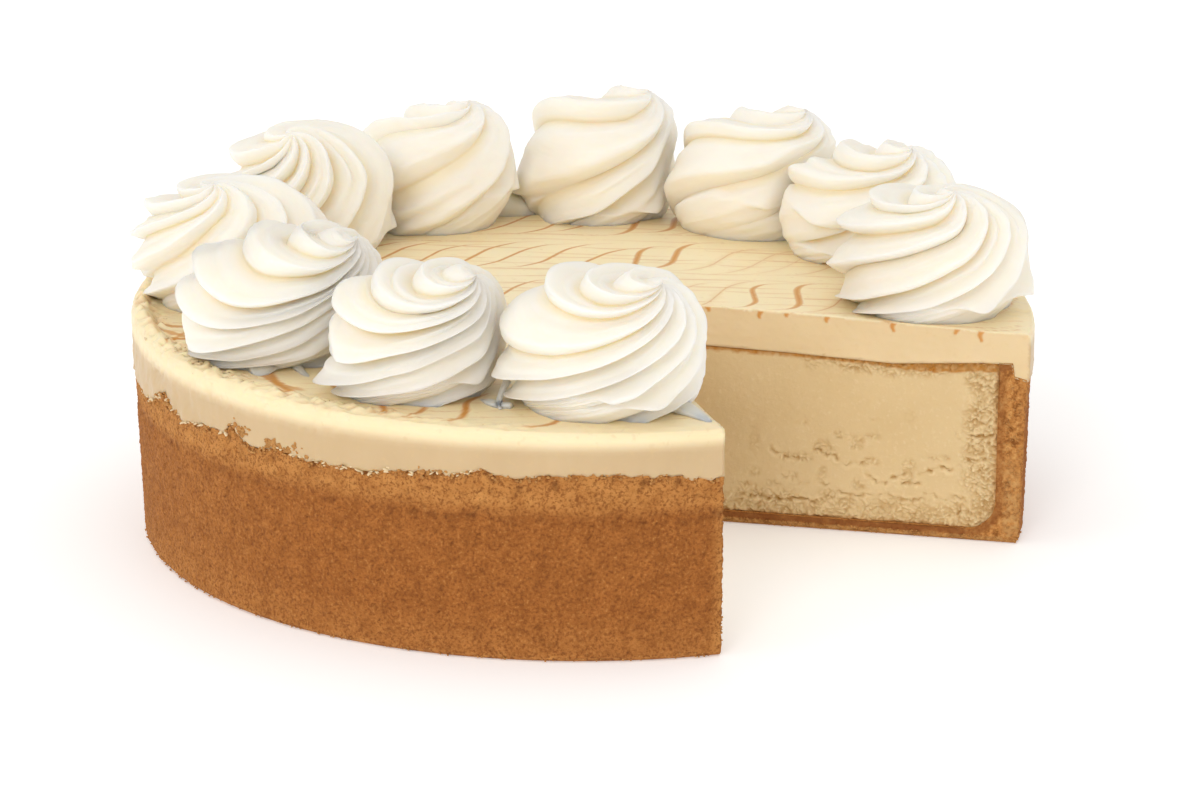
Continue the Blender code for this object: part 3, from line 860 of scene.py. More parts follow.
def caramel_strokes():
    """Rows of thick S strokes across the top, with long thin lines drawn along X between them."""
    rng = random.Random(811)
    strokes = []
    for points, width, strength in FRONT_STROKES:
        strokes.append(stroke_through(points, width, strength))
    rows = ((-90.0, 2.0), (-45.0, 8.0), (1.5, 37.4), (45.5, 15.8), (91.0, 3.0))
    for cy, cx in rows:
        for k in range(-11, 12):
            x = cx + STROKE_GAP * k + rng.uniform(-1.0, 1.0)
            if abs(x) > 125.0 or (cy < -60.0 and x < 0.0):
                continue
            left = 1.0 if x < 6.0 else 0.0
            width = rng.uniform(1.6, 2.2) * (1.0 - 0.50 * left)
            half = rng.uniform(12.5, 17.0)
            tilt = rng.uniform(-0.02, 0.12) + 0.42 * left + (0.14 if cy > 20.0 else 0.0)
            faint = (cy > 40.0 and x > 34.0) or (abs(cy - 1.5) < 1.0 and (20.0 < x < 45.0 or x > 68.0))
            stroke = thick_stroke(rng, x, cy + rng.uniform(-3.0, 3.0), half, tilt, width,
                                  rng.uniform(9, 17), rng.uniform(9, 17))
            if faint:
                stroke[:, 0] += 0.4 * (stroke[:, 1] - cy)
                stroke[:, 2] = np.minimum(stroke[:, 2], 0.5)
                stroke[:, 3] *= rng.uniform(0.3, 0.8)
            strokes.append(stroke)
    for k in range(-16, 17):
        y = 0.6 + LINE_GAP * k + rng.uniform(-1.4, 1.4)
        x = -124.0 + rng.uniform(0.0, 12.0)
        while x < 120.0:
            span = rng.uniform(16.0, 58.0)
            strokes.append(thin_line(rng, x, x + span, y + rng.uniform(-1.6, 1.6), rng.uniform(-0.10, 0.05)))
            x += span * rng.uniform(0.74, 1.10)
    return strokes


# Drips over the head of each cut face: radius and length
DRIPS = {1: ((36.5, 1.6), (51.6, 2.4), (59.5, 1.3), (71.0, 2.0), (90.0, 2.8), (108.0, 1.8), (115.0, 3.2)),
         2: ((22.0, 1.4), (41.0, 2.2), (57.0, 1.5), (74.5, 2.6), (97.0, 1.7), (112.0, 2.4))}


def drip_points(side):
    """Close points at the head of a cut face, where caramel has run over the edge."""
    pts = []
    for place, length in DRIPS[side]:
        for off in (-1.0, -0.6, -0.3, 0.0, 0.3, 0.6, 1.0):
            for down in np.arange(0.45, length + 0.9, 0.36):
                pts.append((place + off + 0.25 * math.sin(2.1 * down + place), down))
    return np.array(pts)


def drip_value(r, down, side):
    """Caramel of a cut face at a radius and a depth below the top."""
    value = np.zeros(len(r))
    for place, length in DRIPS[side]:
        middle = place + 0.25 * np.sin(2.1 * down + place)
        half = 0.75 - 0.40 * np.clip(down / length, 0.0, 1.0)
        across = ease(half + 0.30, half - 0.20, np.abs(r - middle))
        value = np.maximum(value, across * ease(length + 0.3, length - 0.3, down))
    return 0.85 * value


def on_cake(points, limit, room):
    """Whether each point lies within a radius and clear of both cuts."""
    reach = np.hypot(points[:, 0], points[:, 1])
    angle = (np.arctan2(points[:, 1], points[:, 0]) - CUT_A) % (2.0 * math.pi)
    good = (angle < SWEEP) & (reach < limit)
    for turn in (angle, SWEEP - angle):
        good &= np.where(np.cos(turn) > 0, np.abs(np.sin(turn)) * reach, reach) > room
    return good


def mousse_rows(angle):
    """Outer rows of the mousse: underside, torn lower edge, side and rim, up to the flat top."""
    low = float(rim_line(np.array([angle]))[0])
    cos, sin = math.cos(angle), math.sin(angle)
    up = 0.92 + 0.08 * near_angle(math.degrees(angle), -163.0, 26.0, 42.0)
    tilt = TILT * cos
    path = [(20.0, 53.0), (60.0, 52.1), (90.0, 50.8), (116.0, 52.7), (123.9, 52.7), (124.6, low + 0.9),
            (128.2, low - 0.1), (128.8, low - 0.1), (MOUSSE_R, low + 0.8),
            (MOUSSE_R, 59.3 + 1.9 * up - tilt), (128.9 + 0.1 * up, 60.9 + 1.6 * up - tilt),
            (128.0 + 0.3 * up, 62.0 + 1.5 * up - tilt), (124.7, 62.5 + 1.2 * up - tilt)]
    path += [(r, float(top_height(r * cos, r * sin))) for r in (119.0, TOP_R)]
    return subdivided(path, [3, 3, 3, 3, 3, 1, 2, 1, 9, 4, 4, 5, 8, 10])


def stroke_points(strokes):
    """Free points of the flat top, placed across each caramel line."""
    out = []
    for stroke in strokes:
        last = None
        inside = on_cake(stroke, TOP_R - 1.0, 0.9)
        for (x, y, width, _), good, ahead in zip(stroke, inside, np.roll(stroke, -1, 0)):
            if not good:
                last = None
                continue
            if last is not None and math.hypot(x - last[0], y - last[1]) < (0.7 if width > 0.5 else 1.1):
                continue
            dx, dy = ahead[0] - x, ahead[1] - y
            size = math.hypot(dx, dy)
            if size < 1e-6 or size > 6.0:
                continue
            half = 0.5 * width
            offs = (0.0, half * 0.75, -half * 0.75, half + 0.28, -half - 0.28)
            if width <= 0.5:
                offs = (0.0, 0.42, -0.42)
            out += [(x - dy / size * off, y + dx / size * off) for off in offs]
            last = (x, y)
    return np.array(out)


def dense_strokes(strokes):
    """Stations close together along every stroke, used to read a point's caramel."""
    out = []
    for stroke in strokes:
        for a, b in zip(stroke, stroke[1:]):
            n = max(1, int(math.hypot(b[0] - a[0], b[1] - a[1]) / 0.35))
            for k in range(n):
                out.append(a + (b - a) * k / n)
    return out


def read_caramel(points, stations):
    """How much caramel lies on each point, from the strokes around it."""
    tree = tree_of(stations)
    value = np.zeros(len(points))
    for k, (x, y) in enumerate(points):
        for _, index, away in tree.find_range((x, y, 0.0), 1.25):
            half = 0.5 * stations[index][2]
            inside = 1.0 - (away - half * 0.55) / (half * 0.45 + 0.28)
            value[k] = max(value[k], stations[index][3] * min(1.0, max(0.0, inside)))
    return value


def mousse_face_points(loop, side):
    """Free points of a cut face of the mousse, close together along the drips."""
    angle = CUT_A if side == 1 else CUT_A + SWEEP
    drips = drip_points(side)
    drips[:, 1] = top_height(drips[:, 0] * math.cos(angle), drips[:, 0] * math.sin(angle)) - drips[:, 1]
    plain = clear_of(scatter_inside(loop, 0.70, 0.42, 90 + side), drips, 0.34)
    return np.concatenate([drips[inside_loop(drips, loop)], plain])


def mousse_solid(strokes):
    """The whole mousse before its relief, with the tag 0.5 along the cuts of the top and 3 on it."""
    solid = Sector(mousse_rows, MOUSSE_COLUMNS, np.linspace(MOUSSE_FOOT, TOP_CENTRE, 12))
    radial = np.arange(TOP_R - 0.9, 0.6, -0.9)
    edges = []
    for column in (0, -1):
        angle = solid.angles[column]
        x, y = radial * math.cos(angle), radial * math.sin(angle)
        line = np.column_stack([x, y, top_height(x, y)])
        edges.append(solid.add(line, 0.5, np.stack([radial, line[:, 2]], -1)))
    for side in (1, 2):
        solid.close_cut(side, mousse_face_points, edges[side - 1])
    rim = np.concatenate([solid.grid[:, -1], edges[1], solid.axis[-1:], edges[0][::-1]])
    loop = np.concatenate(solid.verts)[rim][:, :2]
    marks = stroke_points(strokes)
    inner = np.concatenate([marks, clear_of(scatter_inside(loop, 2.3, 1.2, 95), marks, 0.9)])
    top = np.column_stack([inner, top_height(inner[:, 0], inner[:, 1])])
    flat = np.stack([np.hypot(inner[:, 0], inner[:, 1]), np.full(len(inner), 64.0)], -1)
    solid.fill(rim, loop, inner, top, 3.0, flat, False)
    return solid.finish()


def build_mousse(material):
    strokes = caramel_strokes()
    verts, tris, tags, flat = mousse_solid(strokes)
    normals = tri_normals(verts, tris)
    radius = np.hypot(verts[:, 0], verts[:, 1])
    height = verts[:, 2]
    angle = np.arctan2(verts[:, 1], verts[:, 0])
    deg = np.degrees(angle)
    cut = (tags == 1.0) | (tags == 2.0)
    under = top_height(verts[:, 0], verts[:, 1]) - height
    # caramel on the top and down the cut faces
    caramel = np.zeros(len(verts))
    pick = ~cut & (under < 0.6) & (radius < 126.0)
    caramel[pick] = read_caramel(verts[pick][:, :2], dense_strokes(strokes))
    for side in (1, 2):
        face = tags == side
        caramel[face] = drip_value(flat[face][:, 0], under[face], side)
    # the rough rim, worst at the left, and its raised lip
    rough = 0.30 + 1.05 * near_angle(deg, -148.0, 24.0, 40.0)
    rough = rough * (1.0 - 0.6 * bump(angle_gap(deg, -80.0), 0.0, 9.0))
    rough = np.clip(rough * (0.7 + 0.6 * noise3(verts / 9.0, 110).clip(-1, 1)), 0.05, 1.4)
    rough = rough * bump(radius, 124.6, 3.4) * (height > 57.5) * (tags == 0)
    twist = noise_shift(verts / 3.0, 113)
    big = worley(verts / np.array([3.4, 2.4, 1.8]) + 0.5 * twist, 101)[0]
    small = worley(verts / np.array([2.2, 1.5, 1.2]) + 0.4 * twist, 111)[0]
    lumps = (0.45 - big) * 3.6 + 1.4 * (0.5 - small) + 0.5 * fbm(verts / 1.6, 2, 102)
    lip = 1.0 * near_angle(deg, -148.0, 14.0, 27.0)
    lip = lip + 2.6 * near_angle(deg, 178.0, 12.0, 28.0)
    lip = lip * bump(radius, 126.2, 2.2) * (height > 57.5)
    move = rough * lumps + 0.16 * fbm(verts / 14.0, 2, 103)
    # the side: faint upright marks, a worn stretch, the torn lower edge and a step
    side = (radius > 128.0) & (height < 58.5)
    upright = np.stack([np.cos(angle) * 95, np.sin(angle) * 95, height / 30.0], -1)
    worn = near_angle(deg, -164.0, 14.0, 32.0)
    torn = ease(3.0, 0.3, height - rim_line(angle))
    relief = 0.10 * noise3(upright, 105) - 0.08 + worn * (0.9 * fbm(verts / 4.5, 3, 117) - 0.25)
    relief += torn * (0.55 * fbm(verts / 1.3, 2, 107) - 0.05)
    relief -= 0.28 * ease(-128.9, -129.6, deg) * (deg < -125.0) * ease(-150.0, -140.0, deg)
    move += side * relief
    drag = 0.22 * fbm(verts / np.array([9.0, 9.0, 1.6]), 3, 104) + 0.10 * fbm(verts / 1.6, 2, 106)
    move += cut * (drag + 0.25 * caramel - 0.16)
    # the rough rim's own lighter shred tone, made lightest toward each lump's middle as a painted highlight
    shaggy_tone_and_highlight = np.clip(rough * (0.35 + 0.9 * (0.5 - big)) * 1.3, 0, 1)
    verts = verts + normals * np.clip(move, -1.8, 2.2)[:, None]
    verts[:, 2] += lip * (0.75 + 0.5 * noise3(verts / 3.0, 112)) * (tags == 0)
    keep_round(verts, CRUMB_LIMIT_R)
    topside = np.where(cut, 0.0, ease(57.5, 61.5, verts[:, 2]))
    # painted shade: the gaps between the rough rim's lumps are darkened with half the caramel tone
    gap = np.clip(rough, 0, 1) * ease(0.35, 0.75, big) * ease(-0.1, 0.3, noise3(verts / 5.0, 116))
    return make_piece("mousse_marbled", verts, tris, material, ("mousse",),
                      {"caramel": np.maximum(caramel, 0.5 * gap), "topside": topside,
                       "cut": cut.astype(float), "shaggy_tone_and_highlight": shaggy_tone_and_highlight})


# Swirls
# Each row: angle on the ring, ring radius, half width along the ring and across it, height,
# direction of the lean, its angle, number of ridges, turn of the ridges
SWIRLS = (
    (-0.8, 98.5, 28.5, 30.0, 38.0, 292.0, 30.0, 7, 235.0),
    (34.5, 100.5, 28.5, 28.0, 35.8, 335.0, 34.0, 6, 205.0),
    (60.0, 101.5, 29.0, 27.5, 38.5, 10.0, 32.0, 6, 175.0),
    (88.6, 103.0, 27.5, 26.2, 40.5, 10.0, 32.0, 6, 150.0),
    (117.6, 100.5, 26.5, 26.5, 38.5, 10.0, 20.0, 6, 135.0),
    (144.8, 100.5, 27.5, 27.5, 40.5, 255.0, 34.0, 7, 205.0),
    (181.0, 100.0, 28.5, 29.5, 37.5, 250.0, 26.0, 7, 235.0),
    (213.0, 100.0, 28.5, 29.5, 37.5, 345.0, 50.0, 9, 250.0),
    (242.3, 99.0, 26.2, 27.0, 36.2, 335.0, 45.0, 8, 250.0),
    (272.6, 100.0, 28.6, 27.8, 38.8, 322.0, 42.0, 8, 245.0),
)
FOOT_RATIO = 0.80
WAIST_RATIO = 0.40
DOME_POWER = 2.55
TIP_SHIFT = 3.0
CREST = 0.64
CURL = 1.2
RIDGE_DEPTH = 6.6
PER_RIDGE = 26
SWIRL_ROWS = 112
PRESS = 2.5
SWIRL_REACH = 128.9
FLAT_TOP_R = 122.0


def swirl_place(index):
    angle = math.radians(SWIRLS[index][0])
    return np.array([SWIRLS[index][1] * math.cos(angle), SWIRLS[index][1] * math.sin(angle)])


def gridded(noise, points, shape):
    return noise(points.reshape(-1, 3)).reshape(shape)


def ridge_section(T, S, begin, crest):
    """Ridge height, 0 to 1: a long facet up to the crest and a short full underside."""
    under = np.clip((T - crest) / (1.0 - crest), 0, 1)
    wave = np.where(T <= crest, (T / crest) ** 1.40, 1.0 - under ** 1.30)
    nose = ease(begin - 0.002, begin + 0.045, S)
    level = 0.42 + 0.10 * np.sin(T * math.pi)
    started = level + (wave - level) * nose + 0.30 * nose * wave * bump(S, begin + 0.05, 0.05)
    return np.where(begin > 0.0, started, wave)


def keep_apart(index, place, x, y):
    """Press a swirl flat where it meets the swirls beside it."""
    half = SWIRLS[index][2]
    for other in (index - 1, index + 1):
        if 0 <= other < len(SWIRLS):
            away = swirl_place(other) - place
            gap = np.linalg.norm(away)
            nx, ny = away / gap
            limit = gap * half / (half + SWIRLS[other][2]) - 0.12
            over = x * nx + y * ny - (limit - PRESS)
            back = np.where(over > 0, over - PRESS * (1.0 - np.exp(-np.maximum(over, 0) / PRESS)), 0.0)
            x, y = x - nx * back, y - ny * back
    return x, y


def build_swirl(index, material):
    ring_deg, _, half_along, half_across, height, lean_deg, lean_size, ridges, turn_deg = SWIRLS[index]
    lean_way, lean, turn = math.radians(lean_deg), math.radians(lean_size), math.radians(turn_deg)
    rng = random.Random(40 + index)
    widths = [rng.uniform(0.66, 1.34) for _ in range(ridges)]
    depths = [RIDGE_DEPTH * rng.uniform(0.75, 1.15) for _ in range(ridges)]
    start = rng.uniform(0.0, 2.0 * math.pi)
    starts = [0.0] * ridges
    for pick in rng.sample(range(ridges), 3):
        starts[pick] = rng.uniform(0.08, 0.30)
    place = swirl_place(index)
    waist = WAIST_RATIO * height
    mean = 0.5 * (half_along + half_across)
    # grid over the swirl: U round it, S up it, T across each ridge, R the ridge's number
    t = np.arange(PER_RIDGE) / PER_RIDGE
    columns = []
    for width in widths:
        span = 2.0 * math.pi * width / sum(widths)
        columns.append(start + span * t)
        start += span
    u = np.concatenate(columns)
    s = (np.arange(SWIRL_ROWS) / SWIRL_ROWS) ** 0.95
    U, S = np.meshgrid(u, s)
    T = np.broadcast_to(np.tile(t, ridges), U.shape)
    R = np.broadcast_to(np.repeat(np.arange(ridges), PER_RIDGE), U.shape)
    # directions from the foot to the leaning tip, and how far the plain form reaches along each
    around = np.stack([1.3 * np.cos(U), 1.3 * np.sin(U), 2.4 * S + index * 5.0], -1)
    theta = U + turn * S * (1.0 - 0.25 * S * S) + CURL * S ** 5
    theta = theta + 0.15 * gridded(lambda p: noise3(p, 199), around, U.shape)
    dip = np.full(U.shape, -waist / mean)
    foot = unit(np.stack([FOOT_RATIO * np.cos(theta), FOOT_RATIO * np.sin(theta), dip], -1))
    side = math.sin(lean)
    pole = np.array([side * math.cos(lean_way), side * math.sin(lean_way), math.cos(lean)])
    span = np.arccos(np.clip(foot @ pole, -1, 1))[..., None]
    up = S[..., None]
    way = (foot * np.sin((1 - up) * span) + pole * np.sin(up * span)) / np.sin(span)
    below = (waist / mean) / (1.0 - FOOT_RATIO ** DOME_POWER) ** (1.0 / DOME_POWER)
    tall = np.where(way[..., 2] >= 0, (height - waist) / mean, below)
    reach = np.hypot(way[..., 0], way[..., 1]) ** DOME_POWER + (np.abs(way[..., 2]) / tall) ** DOME_POWER
    reach = reach ** (-1.0 / DOME_POWER)
    push = unit(np.stack([way[..., 0], way[..., 1], np.maximum(way[..., 2], 0.0)], -1))
    # ridges, some of which start above the foot or carry a second fold
    wave = ridge_section(T, S, np.array(starts)[R], CREST + 0.03 * np.sin(3.0 * S * math.pi + R))
    has_fold = np.array([rng.random() < 0.4 for _ in range(ridges)])[R]
    fold = has_fold * bump(S, np.array([rng.uniform(0.2, 0.7) for _ in range(ridges)])[R], 0.16)
    minor = 0.04 * np.sin(T * 2.0 * math.pi * 3.0 + R * 1.7) * np.sin(T * math.pi) ** 2
    minor = minor + 0.20 * fold * bump(T, 0.30, 0.09) - 0.10 * fold * bump(T, 0.44, 0.06)
    drift = np.stack([R * 3.1 + index * 7.7, S * 6.0, T * 0.0], -1)
    swell = gridded(lambda p: 0.14 * noise3(p, 200) + 0.05 * noise3(p * 4.0, 201), drift, U.shape)
    envelope = np.minimum(1.0, 0.80 + 2.5 * S) * np.minimum(1.0, (1.0 - S) / 0.26) ** 0.80
    out = np.array(depths)[R] * envelope * (wave * (1.0 + swell) - 1.0 + minor)
    grip = np.stack([T * 14.0 + R * 29.0, S * 9.0, T * 0.0 + index], -1)
    out += gridded(lambda p: 0.16 * noise3(p, 203) + 0.10 * noise3(p * 2.3, 204), grip, U.shape) * envelope
    # place on the cake: stretched along the ring, shifted with the lean, pressed by its neighbours
    ring_angle = math.radians(ring_deg)
    radial = np.array([math.cos(ring_angle), math.sin(ring_angle)])
    tangent = np.array([-radial[1], radial[0]])
    fx, fy = way[..., 0] * reach, way[..., 1] * reach
    across = (fx * radial[0] + fy * radial[1]) * half_across
    sideways = (fx * tangent[0] + fy * tangent[1]) * half_along
    lift = np.maximum(waist + way[..., 2] * reach * mean, 0.0)
    share = (lift / height) ** 1.5 * TIP_SHIFT
    x = radial[0] * across + tangent[0] * sideways + push[..., 0] * out + math.cos(lean_way) * share
    y = radial[1] * across + tangent[1] * sideways + push[..., 1] * out + math.sin(lean_way) * share
    x, y = keep_apart(index, place, x, y)
    px, py = place[0] + x, place[1] + y
    far = np.hypot(px, py)
    scale = np.where(far > SWIRL_REACH, SWIRL_REACH / far, 1.0)
    px, py = px * scale, py * scale
    inward = np.minimum(1.0, FLAT_TOP_R / np.hypot(px, py))
    seat = float(top_height(place[0], place[1]))
    blend = np.exp(-lift / 6.0)
    sag = 1.9 * wave * envelope * ease(1.0, 9.0, lift)
    z = top_height(px * inward, py * inward) * blend + seat * (1 - blend) + lift + push[..., 2] * out - sag
    z += np.where(S < 0.02, -0.25, 0.0)
    # slow wobble and a crumpled tip
    body = np.stack([px, py, z], -1).reshape(-1, 3)
    hold = ease(0.5, 8.0, lift.reshape(-1))
    body = body + noise_shift(body / 13.0, 210 + index, 20) * hold[:, None] * np.array([0.9, 0.9, 0.6])
    crumple = 0.10 + 0.35 * ease(0.72, 0.95, S.reshape(-1))
    body += unit(push.reshape(-1, 3)) * (crumple * fbm(body / 1.6, 2, 260) * hold)[:, None]
    keep_round(body, SWIRL_LIMIT_R)
    body[:, 2] = np.minimum(body[:, 2], SWIRL_LIMIT_Z)
    tip = body[-len(u):].mean(0) + pole * 0.25
    verts = np.vstack([body, tip, [place[0], place[1], seat - 0.4]])
    tris = outward(verts, tube_faces(SWIRL_ROWS, len(u), len(body) + 1, len(body)))
    # painted shade: the creases of each ridge get the warmer, darker tint
    crease_shade = np.clip(ease(0.26, 0.0, wave) * envelope * 0.65, 0, 1).reshape(-1)
    name = f"swirl_{index + 1:02d}"
    return make_piece("cream_" + name, verts, tris, material, (name,),
                      {"crease_shade": np.append(crease_shade, [0.0, 0.0])})


# Thin tails of cream pulled off at the foot of the swirls: place, half width and half height
TAILS = (
    ((14.0, -99.0, 66.0, 6.5, 2.4), (21.5, -104.0, 65.0, 5.2, 1.8), (27.0, -108.5, 64.1, 3.6, 1.0),
     (31.0, -113.0, 63.3, 2.0, 0.5), (33.4, -117.0, 62.8, 0.9, 0.3), (34.6, -119.8, 62.5, 0.3, 0.15)),
    ((-84.0, -58.0, 75.0, 12.0, 7.0), (-85.0, -66.0, 71.0, 10.5, 5.0), (-86.0, -72.0, 67.8, 7.0, 3.2),
     (-86.8, -76.5, 65.2, 3.4, 1.6), (-87.2, -80.0, 63.6, 0.4, 0.3)),
    ((-20.0, -99.0, 68.5, 1.1, 1.1), (-21.4, -103.0, 66.2, 0.8, 0.8), (-21.9, -106.0, 64.9, 0.8, 0.7),
     (-21.6, -109.0, 64.1, 0.4, 0.3)),
    ((-27.0, -99.5, 63.9, 0.3, 0.2), (-24.5, -103.0, 64.1, 1.6, 0.8), (-21.5, -106.0, 64.2, 1.8, 0.9),
     (-18.5, -107.5, 64.4, 1.0, 0.8)),
    ((-34.0, 99.0, 64.0, 1.0, 1.0), (-29.0, 101.0, 65.2, 5.0, 4.0), (-23.5, 101.5, 65.6, 5.5, 4.6),
     (-18.0, 102.0, 65.2, 5.0, 4.0), (-12.0, 102.0, 64.0, 1.0, 1.0)),
    ((-79.0, -68.0, 65.5, 1.6, 1.4), (-76.5, -74.5, 64.6, 1.3, 1.0), (-74.0, -80.0, 63.9, 0.9, 0.6),
     (-72.5, -84.0, 63.6, 0.3, 0.2)),
)


def build_tails(material):
    """Each tail is a tube drawn through its stations, flat and thin at its end."""
    sides = 14
    turn = 2.0 * math.pi * np.arange(sides) / sides
    groove = 1.0 + 0.10 * np.cos(5.0 * turn)
    verts, tris, total = [], [], 0
    for tail in TAILS:
        path, _ = spline(np.array(tail), 9)
        ahead = unit(np.gradient(path[:, :2], axis=0))
        across = np.stack([-ahead[:, 1], ahead[:, 0]], -1)
        wide, tall = np.maximum(path[:, 3:4], 0.12), np.maximum(path[:, 4:5], 0.10)
        ring = np.zeros((len(path), sides, 3))
        spread = (across * wide)[:, None, :] * (np.cos(turn) * groove)[None, :, None]
        ring[..., :2] = path[:, None, :2] + spread
        ring[..., 2] = path[:, 2:3] + tall * (np.sin(turn) * groove)[None, :]
        body = ring.reshape(-1, 3)
        body = body + 0.12 * noise_shift(body / 1.8, 401)
        verts.append(np.vstack([body, path[0, :3], path[-1, :3]]))
        tris.append(outward(verts[-1], tube_faces(len(path), sides, len(body), len(body) + 1)) + total)
        total += len(verts[-1])
    verts, tris = np.concatenate(verts), np.concatenate(tris)
    # the tails carry an even share of the painted crease shade
    marks = {"crease_shade": np.full(len(verts), 0.35)}
    return make_piece("cream_tails", verts, tris, material, (), marks)


# Crumbs
def blob(rng, radius, squash, stretch):
    """A small irregular lump: an octahedron subdivided once, squashed, stretched and turned."""
    base = [(1, 0, 0), (-1, 0, 0), (0, 1, 0), (0, -1, 0), (0, 0, 1), (0, 0, -1)]
    faces = [(0, 2, 4), (2, 1, 4), (1, 3, 4), (3, 0, 4), (2, 0, 5), (1, 2, 5), (3, 1, 5), (0, 3, 5)]
    verts = [np.array(v, dtype=float) for v in base]
    mids = {}
    tris = []
    for f in faces:
        ids = []
        for a, b in ((f[0], f[1]), (f[1], f[2]), (f[2], f[0])):
            key = (min(a, b), max(a, b))
            if key not in mids:
                mids[key] = len(verts)
                v = verts[a] + verts[b]
                verts.append(v / np.linalg.norm(v))
            ids.append(mids[key])
        tris += [(f[0], ids[0], ids[2]), (ids[0], f[1], ids[1]), (ids[2], ids[1], f[2]), tuple(ids)]
    verts = np.array([v * radius * rng.uniform(0.62, 1.20) for v in verts])
    verts *= np.array([stretch, 1.0, squash])
    verts[:, 2] += 0.25 * (stretch - 1.0) * verts[:, 0]
    spin = rng.uniform(0, 6.28)
    c, s = math.cos(spin), math.sin(spin)
    verts = np.stack([verts[:, 0] * c - verts[:, 1] * s, verts[:, 0] * s + verts[:, 1] * c, verts[:, 2]], -1)
    return verts, np.array(tris)


def build_lumps(name, places, material, seed, marks, stretch=1.0):
    """One piece of many lumps; places has the (x, y, z, size) of each."""
    rng = random.Random(seed)
    squash = 0.8 if stretch == 1.0 else 0.55
    verts, tris, total = [], [], 0
    for x, y, z, size in places:
        v, f = blob(rng, size, squash, rng.uniform(1.0, stretch))
        verts.append(v + np.array([x, y, z]))
        tris.append(f + total)
        total += len(v)
    verts, tris = np.concatenate(verts), np.concatenate(tris)
    verts[:, 2] = np.maximum(verts[:, 2], 0.02)
    keep_round(verts, CRUMB_LIMIT_R)
    marks = {mark: np.full(len(verts), value) for mark, value in marks.items()}
    return make_piece(name, verts, tris, material, (), marks)


# Clusters of crumbs on the torn line: angle, height and number
CLUSTERS = ((-134.9, 52.9, 26), (-130.0, 51.6, 34), (-126.6, 51.2, 16), (-152.0, 50.8, 14),
            (-108.0, 50.9, 12))


def crust_crumbs(material):
    """Loose crumbs round the foot, on the cut edges, along the torn line and in five clusters on it."""
    rng = random.Random(500)
    places = []

    def drop(angle, r, z, size, nx=0.0, ny=0.0):
        places.append((r * math.cos(angle) + nx, r * math.sin(angle) + ny, z, size))
    for _ in range(440):
        angle = CUT_A + SWEEP * rng.random()
        r = 127.0 + rng.uniform(-0.4, 0.25)
        drop(angle, r, abs(rng.gauss(0, 0.5)) + 0.2, rng.uniform(0.20, 0.42))
    for angle, off, count in ((CUT_A, -0.15, 400), (CUT_A + SWEEP, 0.15, 260)):
        nx, ny = -math.sin(angle) * off, math.cos(angle) * off
        for _ in range(count):
            r, z = rng.uniform(4.0, 127.0), rng.uniform(0.15, 1.5)
            drop(angle, r, z, rng.uniform(0.22, 0.46), nx, ny)
        for _ in range(120):
            r, z = rng.uniform(122.2, 127.4), rng.uniform(2.0, 46.5)
            drop(angle, r, z, rng.uniform(0.22, 0.5), nx, ny)
    for _ in range(340):
        angle = math.radians(rng.uniform(-168.0, -74.0))
        z = float(rim_line(np.array([angle]))[0]) + rng.uniform(-1.3, 0.6)
        drop(angle, 128.6, z, rng.uniform(0.25, 0.65))
    for deg, height, count in CLUSTERS:
        for _ in range(count):
            angle = math.radians(rng.gauss(deg, 0.9))
            z = rng.gauss(height, 0.7)
            drop(angle, 128.8, z, rng.uniform(0.4, 1.0))
    return build_lumps("crust_crumbs", places, material, 501,
                       {"band": 1.0, "pit_shade": 0.0, "skin": 0.0, "cut_face_tone": 0.55, "pale": 0.35})


def rim_crumbs(material):
    """Flakes of mousse on the rough rim, and shreds along its torn lower edge."""
    rng = random.Random(520)
    places = []
    for _ in range(430):
        spans = (rng.uniform(-174.0, -122.0), rng.uniform(-174.0, -122.0), rng.uniform(-130.0, -98.0))
        angle = math.radians(rng.choice(spans))
        if rng.random() < 0.12:
            angle = math.radians(rng.uniform(-20.0, 286.0))
        if not on_cake(np.array([[math.cos(angle) * 120, math.sin(angle) * 120]]), 125.0, 1.0)[0]:
            continue
        r = min(rng.gauss(124.4, 1.9), 127.6)
        x, y = r * math.cos(angle), r * math.sin(angle)
        lip = 2.2 * near_angle(math.degrees(angle), -160.0, 22.0, 36.0) * bump(r, 126.4, 2.4)
        z = float(top_height(x, y)) + lip + rng.uniform(-0.6, -0.1)
        places.append((x, y, z, rng.uniform(0.45, 1.05)))
    for _ in range(90):
        angle = math.radians(rng.uniform(-166.0, -100.0))
        z = float(rim_line(np.array([angle]))[0]) + rng.uniform(-0.6, 0.6)
        places.append((128.5 * math.cos(angle), 128.5 * math.sin(angle), z, rng.uniform(0.3, 0.8)))
    return build_lumps("mousse_crumbs", places, material, 521,
                       {"topside": 1.0, "caramel": 0.0, "cut": 0.0, "shaggy_tone_and_highlight": 0.4}, 2.6)


# Stage, in metres; each light has its direction, strength and width in degrees
LIGHTS = (("key", (-0.34, -1.0, 0.58), 0.66, 22.0), ("fill", (0.60, -0.80, 0.45), 0.15, 40.0),
          ("left", (-1.0, -0.35, 0.45), 0.29, 40.0), ("top", (0.0, 0.20, 1.0), 0.36, 70.0))
WORLD_LIGHT = 0.74
FLOOR_HALF = 4
FLOOR_Z = -0.0002
CAMERA_PITCH = 0.2919
CAMERA_AIM = (0.0047, 0.0, 0.0338)
CAMERA_DISTANCE = 1.2217
SENSOR_WIDTH = 36.0
FOCAL_PIXELS = 4222.0
PHOTO_WIDTH = 1200.0


def soft_sun(name, toward, strength, width_deg):
    """Even light from one side; its width sets how soft the shadows are."""
    data = bpy.data.lights.new(name, "SUN")
    data.energy = strength
    data.angle = math.radians(width_deg)
    lamp = bpy.data.objects.new(name, data)
    bpy.context.scene.collection.objects.link(lamp)
    lamp.location = toward
    lamp.rotation_euler = (-Vector(toward)).to_track_quat("-Z", "Y").to_euler()


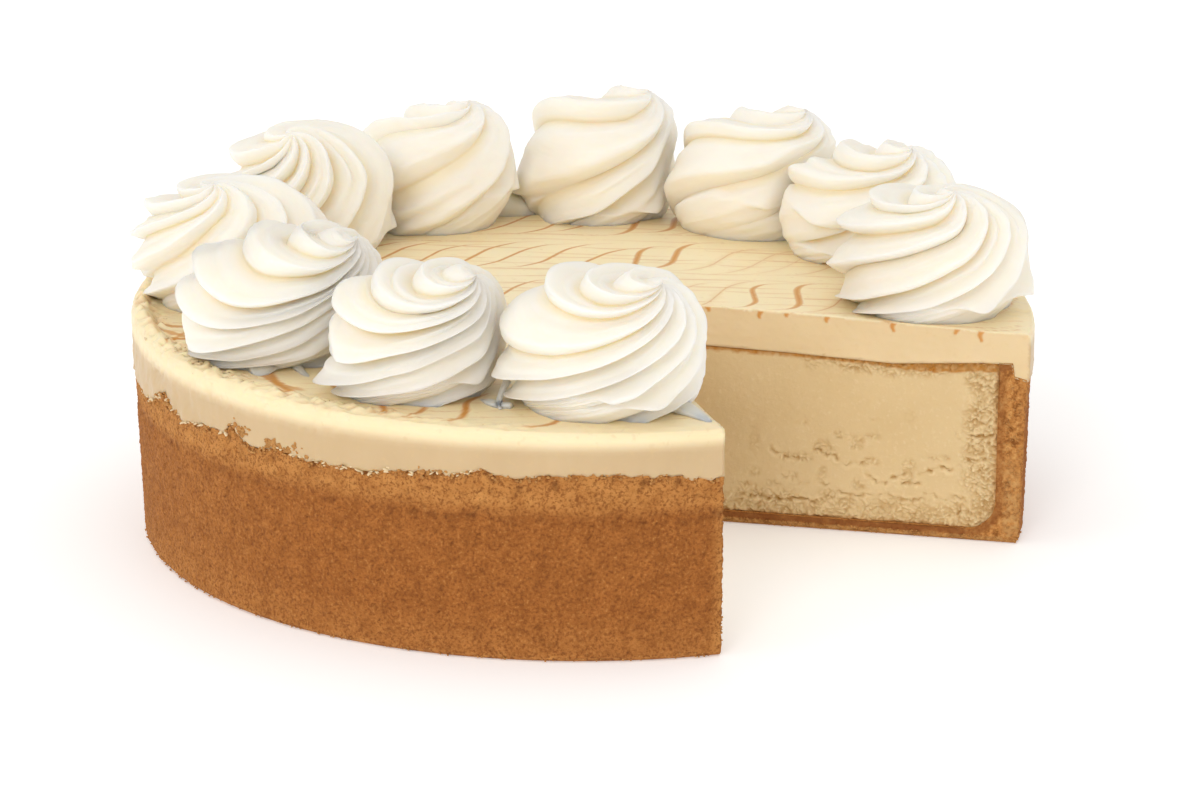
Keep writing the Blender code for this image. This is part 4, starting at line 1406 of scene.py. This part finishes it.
def build_world():
    world = bpy.data.worlds.new("studio_world")
    bpy.context.scene.world = world
    world.use_nodes = True
    background = world.node_tree.nodes["Background"]
    background.inputs["Color"].default_value = (1.0, 0.99, 0.975, 1.0)
    background.inputs["Strength"].default_value = WORLD_LIGHT


def build_floor():
    mesh = bpy.data.meshes.new("floor")
    corners = [(x * FLOOR_HALF, y * FLOOR_HALF, FLOOR_Z) for x, y in ((-1, -1), (1, -1), (1, 1), (-1, 1))]
    mesh.from_pydata(corners, [], [(0, 1, 2, 3)])
    floor = bpy.data.objects.new("floor", mesh)
    bpy.context.scene.collection.objects.link(floor)
    material, tree, shader = new_material("floor_look")
    tone = mottled(tree, 3.0, 2.0, (0.93, 0.928, 0.925), (0.95, 0.948, 0.945), (0.4, 0.6))
    surface(tree, shader, tone, 0.6, 0.2)
    shader.inputs["Emission Color"].default_value = (1.0, 1.0, 1.0, 1.0)
    shader.inputs["Emission Strength"].default_value = 0.22
    mesh.materials.append(material)


def build_camera():
    """The camera that was fitted to the photograph."""
    data = bpy.data.cameras.new("camera")
    camera = bpy.data.objects.new("camera", data)
    bpy.context.scene.collection.objects.link(camera)
    forward = Vector((0.0, math.cos(CAMERA_PITCH), -math.sin(CAMERA_PITCH)))
    camera.location = Vector(CAMERA_AIM) - forward * CAMERA_DISTANCE
    camera.rotation_euler = (math.pi / 2 - CAMERA_PITCH, 0.0, 0.0)
    data.sensor_width = SENSOR_WIDTH
    data.lens = FOCAL_PIXELS * SENSOR_WIDTH / PHOTO_WIDTH
    data.clip_start = 0.05
    bpy.context.scene.camera = camera


def build_stage():
    build_world()
    build_floor()
    for name, toward, strength, width_deg in LIGHTS:
        soft_sun(name, toward, strength, width_deg)
    build_camera()
    bpy.context.scene.view_settings.view_transform = "Standard"


def main():
    build_stage()
    cream, crumb = cream_material(), crust_material()
    build_crust(crumb)
    build_filling(filling_material())
    build_mousse(mousse_material())
    for index in range(len(SWIRLS)):
        build_swirl(index, cream)
    build_tails(cream)
    crust_crumbs(crumb)
    rim_crumbs(shred_material())


main()
